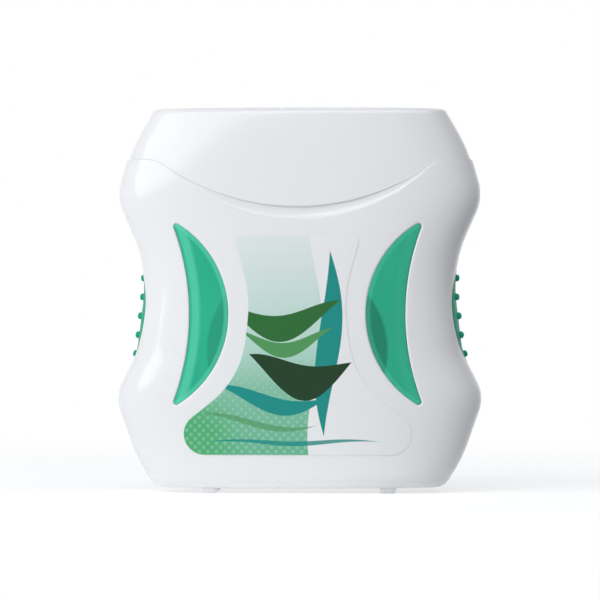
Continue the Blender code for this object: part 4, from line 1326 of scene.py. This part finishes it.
class FLOSS_OT_grips(bpy.types.Operator):
    """Build the two side grips with their bumps"""

    bl_idname = "floss.grips"
    bl_label = "Grips"

    def execute(self, context):
        scene = context.scene
        case, grip = scene.floss_case, scene.floss_grip
        for side, word in ((-1, "left"), (1, "right")):
            piece = grip_piece("pad_" + word, case, grip, side)
            material = soft_tpe("soft_tpe_" + word, scene.floss_colours.grip)
            dress(piece, "housing", material, "grip_" + word)
        return {"FINISHED"}


def grip_piece(name, case, grip, side):
    """Pad that follows the case's side, with a rolled edge and round bumps."""
    form, middle = Form(case), case.height * grip.middle_share
    roll, slack, deep = grip.roll, case.hairline / 2, 1.3 * MM
    field_y, field_z = grip.half_depth - slack - roll, grip.half_height - slack - roll
    turns = 2 * pi * np.arange(PAD_SIDES) / PAD_SIDES
    # Share of the field, reach past it and depth of each ring
    levels = [(share, 0.0, 0.0) for share in np.linspace(0.04, 1.0, 22)]
    levels += [(1.0, roll * s, roll * (1 - c)) for s, c in quarter(EDGE_STEPS, 1)]
    levels.append((1.0, roll, deep))
    rings = []
    for share, past, depth in levels:
        y = (field_y * share + past) * np.cos(turns)
        z = middle + (field_z * share + past) * np.sin(turns)
        points, normals = form.side_place(y, z, side)
        rings.append(points - normals * depth)
    verts, faces = np.concatenate(rings), tube_faces(len(rings), PAD_SIDES)
    for y, z in bump_places(grip, middle):
        points, more = bump_form(form, grip, side, (y, z), len(verts))
        verts, faces = np.concatenate([verts, points]), faces + more
    return mesh_piece(name, verts, faces)


def bump_places(grip, middle):
    """Places of the bumps: a middle column and a shorter one on each side of it."""
    places = []
    for column in (-1, 0, 1):
        count = grip.count if column == 0 else grip.count - 2
        for k in range(count):
            places.append((column * grip.column, middle + grip.pitch * (k - (count - 1) / 2)))
    return places


def bump_form(form, grip, side, at, start, sides=24):
    """Points and faces of one bump with a flared foot and a round head."""
    radius, tall = grip.bump_radius, grip.bump_height
    # Shares of the bump's radius and height
    profile = [(1.3, -0.3), (1.3, -0.02), (1.12, 0.05), (1.02, 0.2), (1.0, 0.45)]
    profile += [(c, 0.45 + 0.55 * s) for s, c in quarter(EDGE_STEPS, 1)[:-1]]
    base, normal = (Vector(v) for v in form.side_place(*np.array(at), side))
    turn = Vector((0, 0, 1)).rotation_difference(normal).to_matrix()
    points = []
    for reach, height in profile:
        for k in range(sides):
            a = 2 * pi * k / sides
            spoke = Vector((reach * radius * cos(a), reach * radius * sin(a), height * tall))
            points.append(base + turn @ spoke)
    points.append(base + turn @ Vector((0, 0, tall)))
    faces = grid_faces(len(profile), sides, start=start, closed=True)
    last, top = start + (len(profile) - 1) * sides, start + len(profile) * sides
    faces += [(last + k, last + (k + 1) % sides, top) for k in range(sides)]
    faces.append(tuple(range(start, start + sides)))
    return np.array([tuple(point) for point in points]), faces


class FLOSS_OT_label(bpy.types.Operator):
    """Build the printed film on the front"""

    bl_idname = "floss.label"
    bl_label = "Label"

    def execute(self, context):
        scene = context.scene
        piece = label_piece("label_film", scene.floss_case, scene.floss_label, scene.floss_window)
        material = printed_film("printed_pp_film", scene.floss_colours)
        dress(piece, "housing", material, "front_label")
        return {"FINISHED"}


def label_half(case, label, window):
    """Right half of the label's outline, from the top down, as x and z."""
    middle = case.height * window.middle_share
    waist = float(Form(case).width(middle)) - window.margin - window.width - label.margin
    top = case.height - case.lid_height - case.smile_drop - label.top_margin
    bottom = case.foot + case.bottom_crown + label.bottom_margin
    corners = (
        (waist + label.top_flare, top, label.top_fillet),
        (waist, middle + label.waist_rise, label.waist_fillet),
        (waist + label.hip_flare, middle - label.hip_drop, label.hip_fillet),
        (waist + label.bottom_flare, bottom, label.bottom_fillet),
    )
    right = [(0.0, top)] + [(x, z) for x, z, _ in corners] + [(0.0, bottom)]
    half = []
    for a, b, c, corner in zip(right, right[1:], right[2:], corners):
        half += fillet(a, b, c, corner[2], step=0.08)
    dense, spacing = [], 0.5 * MM
    for (ax, az), (bx, bz) in zip(half, half[1:]):
        count = max(1, ceil(hypot(bx - ax, bz - az) / spacing))
        dense += [(ax + (bx - ax) * k / count, az + (bz - az) * k / count) for k in range(count)]
    return np.array(dense + [half[-1]])


def label_piece(name, case, label, window):
    """Thin film that follows the front, a little proud of it."""
    form, half = Form(case), label_half(case, label, window)
    columns, sunk = 61, 0.05 * MM
    x = half[:, :1] * np.linspace(-1.0, 1.0, columns)
    z = np.repeat(half[:, 1:], columns, axis=1)
    rows, loop = len(half), border(len(half), columns)
    sheets = [form.behind_front(x, z, depth) for depth in (-label.thickness, sunk)]
    edges = [np.array([sheet[at] for at in loop]) for sheet in sheets]
    faces = grid_faces(rows, columns) + grid_faces(rows, columns, start=rows * columns)
    faces += grid_faces(2, len(loop), start=2 * rows * columns, closed=True)
    return mesh_piece(name, np.concatenate([*sheets[0], *sheets[1], *edges]), faces)


class FLOSS_OT_spool(bpy.types.Operator):
    """Build the spool and the floss wound on it"""

    bl_idname = "floss.spool"
    bl_label = "Spool"

    def execute(self, context):
        spool, colours = context.scene.floss_spool, context.scene.floss_colours
        core, wound = spool_piece("spool_body", spool), winding_piece("wound_floss", spool)
        material = satin_pp("satin_pp_spool", colours.spool)
        dress(core, "spool", material, "spool_core")
        dress(wound, "spool", waxed_floss(colours.floss), "floss_winding")
        return {"FINISHED"}


def spool_piece(name, spool):
    """Flanged spool with rounded flange rims."""
    bore, hub, half = spool.bore, spool.bore + spool.hub_wall, spool.half_length
    roll, inside = spool.flange / 2, spool.half_length - spool.flange
    turns = [pi * k / 8 for k in range(9)]
    rim = [(spool.radius - roll + roll * sin(turn), -roll * cos(turn)) for turn in turns]
    profile = [(bore, -half), (spool.radius - roll, -half)]
    profile += [(reach, z - half + roll) for reach, z in rim] + [(hub, -inside), (hub, inside)]
    profile += [(reach, z + half - roll) for reach, z in rim] + [(bore, half)]
    return turned(name, profile, along_y(0, spool.middle), sides=128)


def winding_piece(name, spool):
    """Wound floss: rows of turns lying side by side."""
    seam, crown, groove = 0.05 * MM, 0.35 * MM, 0.12 * MM
    inner = spool.bore + spool.hub_wall + seam
    reach = spool.half_length - spool.flange - 2 * seam
    pitch = 2 * spool.strand
    turns = int(2 * reach / pitch)
    start = -turns * pitch / 2
    profile = [(inner, start)]
    for k in range(4 * turns):
        row, share = k / 4, k % 4 / 4
        bow = crown * abs(2 * row / turns - 1) ** 3
        dip = groove * (1 - sin(pi * share) ** 0.6)
        profile.append((spool.winding - bow - dip, start + row * pitch))
    profile += [(spool.winding - crown - groove, -start), (inner, -start)]
    return turned(name, profile, along_y(0, spool.middle), sides=96)


class FLOSS_OT_guide(bpy.types.Operator):
    """Build the guide tray with its nozzle"""

    bl_idname = "floss.guide"
    bl_label = "Guide"

    def execute(self, context):
        scene = context.scene
        guide = guide_piece("guide_tray", scene.floss_case, scene.floss_spool)
        material = satin_pp("satin_pp_guide", scene.floss_colours.guide)
        dress(guide, "housing", material, "floss_guide")
        return {"FINISHED"}


def guide_top(case, spool):
    """Height of the guide's upper face."""
    return case.height - case.lid_height - spool.guide_drop


def guide_piece(name, case, spool):
    """Tray with a rounded upper edge, a skirt, the cutter's pocket and the floss nozzle."""
    angle = Section(case).angle(np.linspace(0.0, 1.0, TRAY_COLUMNS))
    top, low = guide_top(case, spool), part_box("floss_guide")[0][2]
    under, roll, broken = top - spool.guide_plate, spool.guide_roll, 0.15 * MM
    outside = case.wall + spool.guide_gap
    inside = outside + spool.guide_wall

    def ring(inset, z):
        """Ring of points round the tray."""
        form = Form(case, inset)
        front, rear = (form.point(angle, np.full_like(angle, z), side) for side in (-1, 1))
        return np.concatenate([front, rear[::-1][1:-1]])

    def plate(inset, z):
        """Rows that close a ring of the tray."""
        form, edge = Form(case, inset), ring(inset, z)
        return cap_rows(edge, form, z, 0.0, medial_line(edge, form, z), count=10)

    edge = quarter(EDGE_STEPS, 1)
    rows = plate(inside, under)[::-1]
    rows += [ring(inside, z) for z in spread(under, low + broken, 8)]
    rows += [ring(inside - broken, low), ring(outside + broken, low)]
    rows += [ring(outside, z) for z in spread(low + broken, top - roll, 8)]
    rows += [ring(outside + roll * (1 - c), top - roll * (1 - s)) for s, c in edge]
    rows += plate(outside + roll, top)
    guide = mesh_piece(name, np.concatenate(rows), grid_faces(len(rows), len(rows[0]), closed=True))
    offset, seam, half = spool.cutter_offset, 0.3 * MM, spool.cutter_width / 2
    pocket = rounded_box(
        "pocket",
        (-offset - spool.cutter_length - seam, -half - seam, top - spool.cutter_thickness - seam),
        (-offset + seam, half + seam, top + 2 * PAST),
        radius=0.2 * MM,
    )
    combine(guide, pocket, "DIFFERENCE")
    place = Matrix.Translation((spool.nozzle_offset, 0, 0))
    reach, bore, tip = spool.nozzle_radius, spool.nozzle_bore, top + spool.nozzle_height
    root, flare, shoulder, mouth = under + 0.3 * MM, 0.35 * MM, 0.45 * MM, 0.3 * MM
    nozzle = [(0, root), (reach + flare, root), (reach + flare, top)]
    nozzle += [(reach + flare * (1 - s), top + flare * (1 - c)) for s, c in quarter(5)]
    nozzle += [(reach - shoulder * (1 - c), tip - shoulder * (1 - s)) for s, c in quarter(6)]
    combine(guide, turned("nozzle", [*nozzle, (0, tip)], place), "UNION")
    hole = [(0, under - PAST), (bore, under - PAST), (bore, tip - mouth)]
    hole += [(bore + mouth * (1 - c), tip - mouth * (1 - s)) for s, c in quarter(5, 1)]
    hole += [(bore + mouth, tip + PAST), (0, tip + PAST)]
    combine(guide, turned("bore", hole, place), "DIFFERENCE")
    return guide


class FLOSS_OT_cutter(bpy.types.Operator):
    """Build the steel cutter"""

    bl_idname = "floss.cutter"
    bl_label = "Cutter"

    def execute(self, context):
        scene = context.scene
        blade = cutter_piece("cutter_strip", scene.floss_case, scene.floss_spool)
        material = steel("stainless_strip", scene.floss_colours.steel)
        dress(blade, "housing", material, "cutter")
        return {"FINISHED"}


def cutter_piece(name, case, spool):
    """Bent steel strip with a rounded bend, broken edges and a notch in its tongue."""
    bend, broken = 0.25 * MM, 0.04 * MM
    top, thick = guide_top(case, spool), spool.cutter_thickness
    front, low = -spool.cutter_offset, top - thick
    back, high = front - spool.cutter_length, low + spool.cutter_rise + thick
    strip = [(back, low)]
    strip += fillet((back, low), (front, low), (front, high), bend + thick, step=0.2)
    strip += [(front, high), (front - thick, high)]
    strip += fillet((front - thick, high), (front - thick, top), (back, top), bend, step=0.2)
    strip.append((back, top))
    half = spool.cutter_width / 2
    blade = slab(name, [(x, -half, z) for x, z in strip], (0.0, 2 * half, 0.0))
    foot_z, wide = high - spool.notch_depth, spool.notch_width / 2
    side = [(0.15 * wide, foot_z), (wide, foot_z + 0.6 * wide), (wide, high - 0.4 * spool.notch_depth)]
    side += [(2 * wide, high + 0.01 * MM), (2 * wide, high + PAST)]
    notch = [(-y, z) for y, z in side] + side[::-1]
    start = front - thick - PAST
    tool = slab("notch", [(start, y, z) for y, z in notch], (thick + 2 * PAST, 0.0, 0.0))
    combine(blade, tool, "DIFFERENCE")
    bm = bmesh.new()
    bm.from_mesh(blade.data)
    bmesh.ops.remove_doubles(bm, verts=bm.verts, dist=TOUCH / 2)
    bmesh.ops.dissolve_limit(
        bm, angle_limit=radians(1), verts=bm.verts, edges=bm.edges, use_dissolve_boundaries=False
    )
    sharp = [edge for edge in bm.edges if edge.calc_face_angle(0.0) > radians(35)]
    bmesh.ops.bevel(bm, geom=sharp, offset=broken, segments=2, profile=0.5, affect="EDGES")
    bm.to_mesh(blade.data)
    bm.free()
    smooth(blade)
    return blade


def slab(name, loop, push):
    """Closed piece between a flat loop of points and its copy pushed along a line."""
    start = np.array(loop)
    return mesh_piece(name, np.concatenate([start, start + push]), tube_faces(2, len(start)))


class FLOSS_OT_strand(bpy.types.Operator):
    """Build the held strand of floss"""

    bl_idname = "floss.strand"
    bl_label = "Strand"

    def execute(self, context):
        scene = context.scene
        strand = strand_piece("held_floss", scene.floss_case, scene.floss_spool)
        dress(strand, "housing", waxed_floss(scene.floss_colours.floss), "floss_strand")
        return {"FINISHED"}


def strand_route(case, spool):
    """Held route of the floss, as x and z: off the winding, through the nozzle, over the cutter."""
    top, nozzle = guide_top(case, spool), spool.nozzle_offset
    lift = spool.winding + 0.3 * MM + spool.strand
    leave = Vector((nozzle, top - spool.guide_plate))
    away = leave - Vector((0, spool.middle))
    lead = atan2(away.y, away.x) - acos(lift / away.length)
    turns = [lead + back for back in (-0.5, -0.3, -0.1, 0.0)]
    rest = top + spool.cutter_rise - spool.notch_depth + 0.3 * spool.notch_width + spool.strand
    bend, past, midway, seat = (rest + spool.strand * share for share in (2.0, 2.6, 1.0, 0.8))
    behind, end = (-spool.cutter_offset - spool.cutter_length * share for share in (0.4, 0.8))
    return [
        *((lift * cos(turn), spool.middle + lift * sin(turn)) for turn in turns),
        tuple(leave),
        (nozzle, top + spool.nozzle_height),
        (nozzle - spool.nozzle_bore, bend),
        (nozzle - spool.nozzle_radius * 2, past),
        (0, midway),
        (-spool.cutter_offset, seat),
        (behind, rest),
        (end, (rest + top) / 2),
    ]


def strand_piece(name, case, spool, sides=20):
    """Round strand of two twisted plies along its route, with closed ends."""
    # Distance between its rings, length of one turn of its twist, share of its radius that the
    # grooves between the plies are deep, and points along each curve of its route
    spacing, lay, groove, fine = 0.16 * MM, 2.4 * MM, 0.16, 17
    route = [Vector(point) for point in strand_route(case, spool)]
    line = []
    last = len(route) - 1
    for i in range(last):
        before, start = route[max(i - 1, 0)], route[i]
        end, after = route[i + 1], route[min(i + 2, last)]
        handles = start + (end - before) / 6, end - (after - start) / 6
        line += interpolate_bezier(start, *handles, end, fine)[:-1]
    line = np.array([tuple(point) for point in line + [route[last]]])
    run = np.concatenate([[0.0], np.cumsum(np.hypot(*np.diff(line, axis=0).T))])
    count = int(run[-1] / spacing)
    even = np.linspace(0.0, run[-1], count)
    line = np.stack([np.interp(even, run, line[:, k]) for k in (0, 1)], axis=-1)
    along = unit(np.gradient(line, axis=0))
    turn = 2 * pi * np.arange(sides) / sides
    twist = 2 * pi * even / lay
    plies = np.abs(np.sin(turn[None, :] - twist[:, None]))
    radius = spool.strand * (1 - groove + groove * plies)
    across, lift = np.cos(turn) * radius, np.sin(turn) * radius
    x = line[:, :1] - along[:, 1:] * across
    z = line[:, 1:] + along[:, :1] * across
    grid = np.stack([x, lift, z], axis=-1)
    return mesh_piece(name, grid.reshape(-1, 3), tube_faces(count, sides))


# Stage


class FLOSS_OT_stage(bpy.types.Operator):
    """Set up the floor, the light and the camera"""

    bl_idname = "floss.stage"
    bl_label = "Stage"

    def execute(self, context):
        scene = context.scene
        stage, reach = scene.floss_stage, FLOOR_REACH
        corners = [(-reach, -reach, 0), (reach, -reach, 0), (reach, reach, 0), (-reach, reach, 0)]
        floor = mesh_piece("floor", corners, [(0, 1, 2, 3)])
        floor.data.materials.append(white_paper())
        light_world(scene)
        # Azimuth, elevation, distance, width, height, roll and radiance of each softbox
        softbox("key", -42.0, 32.0, 0.85, 1.05, 0.62, 23.0, 2.14)
        softbox("top", 36.0, 60.0, 0.80, 0.80, 0.50, 0.0, 1.6)
        data = bpy.data.cameras.new("photo_camera")
        data.sensor_width = SENSOR
        data.lens = SENSOR * stage.distance / stage.frame_width
        data.clip_start, data.clip_end = 0.01, 10.0
        camera = bpy.data.objects.new("photo_camera", data)
        scene.collection.objects.link(camera)
        turn, distance = stage.azimuth, stage.distance
        camera.location = (distance * sin(turn), -distance * cos(turn), stage.aim_height)
        camera.rotation_euler = (pi / 2, 0, turn)
        scene.camera = camera
        scene.view_settings.view_transform = "Standard"
        return {"FINISHED"}


def seen_background(nodes):
    """Factor that is 1 for what the camera, a mirror or clear plastic shows of the backdrop."""
    rays = add(nodes, "LightPath", (-600, 500)).outputs
    seen = rays["Is Camera Ray"]
    for column, ray in enumerate(("Is Transmission Ray", "Is Glossy Ray")):
        feeds = [(seen, 0), (rays[ray], 1)]
        seen = add(nodes, "Math", (-400 + 200 * column, 500), feeds, operation="MAXIMUM")
    return seen


def white_paper():
    """Matt white paper sweep: it goes over into the white backdrop away from the object."""
    material = bpy.data.materials.new("white_paper")
    material.use_nodes = True
    nodes = material.node_tree.nodes
    nodes.clear()
    place = add(nodes, "TexCoord", (-1000, 200)).outputs["Object"]
    away = add(nodes, "VectorMath", (-800, 200), [(place, 0)], operation="LENGTH")
    near = add(
        nodes, "MapRange", (-600, 200), [(away, "Value")],
        interpolation_type="SMOOTHSTEP", From_Min=50.0 * MM, From_Max=220.0 * MM,
    )
    # Fibres of the paper, about 1 mm, in a grey of 0.50 to 0.54
    fibres = add(nodes, "TexNoise", (-600, -100), [(place, "Vector")], Scale=900.0)
    tone = add(nodes, "ValToRGB", (-400, -100), [(fibres, "Fac")])
    for stop, grey in zip(tone.color_ramp.elements, (0.50, 0.54)):
        stop.color = (grey, grey, grey, 1.0)
    paper = add(nodes, "BsdfDiffuse", (-100, -100), [(tone, "Color")])
    bright = add(nodes, "Emission", (-100, -250), Color=WHITE, Strength=0.62)
    shown = add(nodes, "AddShader", (100, -150), [(paper, 0), (bright, 1)])
    white = add(nodes, "Emission", (100, -300), Color=WHITE, Strength=1.0)
    fade = add(nodes, "MixShader", (300, -150), [(near, 0), (shown, 1), (white, 2)])
    # What the object gets back from the floor is painted: its colour for bounced light is darker towards
    # the right, a painted shade on the object's right side, and it glows faintly, a painted light from
    # below
    split = add(nodes, "SeparateXYZ", (-800, 700), [(place, "Vector")])
    painted_bounce = add(
        nodes, "MapRange", (-600, 700), [(split.outputs["X"], "Value")],
        interpolation_type="SMOOTHSTEP", From_Min=-10.0 * MM, From_Max=70.0 * MM,
        To_Min=0.9, To_Max=0.2,
    )
    lit = add(nodes, "BsdfDiffuse", (100, 100), [(painted_bounce, "Color")])
    glow = add(nodes, "Emission", (100, 0), [(painted_bounce, "Color")], Strength=0.24)
    lit = add(nodes, "AddShader", (300, 100), [(lit, 0), (glow, 1)])
    mix = add(nodes, "MixShader", (500, 0), [(seen_background(nodes), 0), (lit, 1), (fade, 2)])
    add(nodes, "OutputMaterial", (800, 0), [(mix, "Surface")])
    return material


def light_world(scene):
    """White behind the object and in what it mirrors, soft cool light from all round."""
    scene.world = world = bpy.data.worlds.new("studio")
    world.use_nodes = True
    nodes = world.node_tree.nodes
    nodes.clear()
    # The room is lighter on the left than on the right, with a soft fill in front and behind
    way = add(nodes, "TexCoord", (-800, -200)).outputs["Generated"]
    split = add(nodes, "SeparateXYZ", (-600, -200), [(way, "Vector")])
    x, y = split.outputs["X"], split.outputs["Y"]
    level = add(
        nodes, "MapRange", (-400, -200), [(x, "Value")], From_Min=-1.0, To_Min=0.28, To_Max=0.08
    )
    for row, start, end, fill in ((0, -0.2, -1.0, 0.2), (1, 0.3, 1.0, 0.6)):
        more = add(
            nodes, "MapRange", (-400, -500 - 300 * row), [(y, "Value")],
            From_Min=start, From_Max=end, To_Max=fill,
        )
        level = add(nodes, "Math", (-200, -300 * row), [(level, 0), (more, 1)])
    feeds = [(level, "Strength")]
    soft = add(nodes, "Background", (0, -200), feeds, Color=(0.78, 0.88, 1.0, 1.0))
    white = add(nodes, "Background", (0, 200), Color=WHITE, Strength=1.0)
    mix = add(nodes, "MixShader", (200, 0), [(seen_background(nodes), 0), (soft, 1), (white, 2)])
    add(nodes, "OutputWorld", (400, 0), [(mix, "Surface")])


def softbox(name, azimuth, elevation, distance, width, height, roll, radiance):
    """Soft, faintly warm light on the object; azimuth 0 is in front of it, elevation 90 above it."""
    data = bpy.data.lights.new(name, "AREA")
    data.color = (1.0, 0.975, 0.965)
    data.shape = "RECTANGLE"
    data.size, data.size_y = width, height
    data.energy = radiance * pi * width * height
    light = bpy.data.objects.new(name, data)
    bpy.context.scene.collection.objects.link(light)
    turn, rise = radians(azimuth), radians(elevation)
    way = Vector((sin(turn) * cos(rise), -cos(turn) * cos(rise), sin(rise)))
    place = Matrix.Translation(Vector((0.0, 0.0, LIGHT_AIM)) + way * distance)
    facing = way.to_track_quat("Z", "Y").to_matrix().to_4x4()
    light.matrix_world = place @ facing @ Matrix.Rotation(radians(roll), 4, "Z")


# Add-on


class FLOSS_PT_pieces(bpy.types.Panel):
    """Lists the pieces and their sizes"""

    bl_idname = "FLOSS_PT_pieces"
    bl_label = "Floss Dispenser"
    bl_space_type = "VIEW_3D"
    bl_region_type = "UI"
    bl_category = "Floss"

    def draw(self, context):
        column = self.layout.column()
        for step in OPERATORS:
            column.operator(step.bl_idname)
        for name, group in GROUPS.items():
            box = column.box()
            box.label(text=group.__doc__.rstrip("."))
            settings = getattr(context.scene, name)
            for key in group.__annotations__:
                box.prop(settings, key)


OPERATORS = (
    FLOSS_OT_front_shell,
    FLOSS_OT_rear_shell,
    FLOSS_OT_lid,
    FLOSS_OT_windows,
    FLOSS_OT_grips,
    FLOSS_OT_label,
    FLOSS_OT_spool,
    FLOSS_OT_guide,
    FLOSS_OT_cutter,
    FLOSS_OT_strand,
    FLOSS_OT_stage,
)
CLASSES = (*GROUPS.values(), *OPERATORS, FLOSS_PT_pieces)


def register():
    """Register the classes and their settings."""
    for item in CLASSES:
        bpy.utils.register_class(item)
    for name, group in GROUPS.items():
        setattr(bpy.types.Scene, name, PointerProperty(type=group))


def unregister():
    """Remove the settings and the classes."""
    for name in GROUPS:
        delattr(bpy.types.Scene, name)
    for item in reversed(CLASSES):
        bpy.utils.unregister_class(item)


def main():
    """Build every piece."""
    register()
    for step in OPERATORS:
        group, name = step.bl_idname.split(".")
        getattr(getattr(bpy.ops, group), name)()


if __name__ == "__main__":
    main()
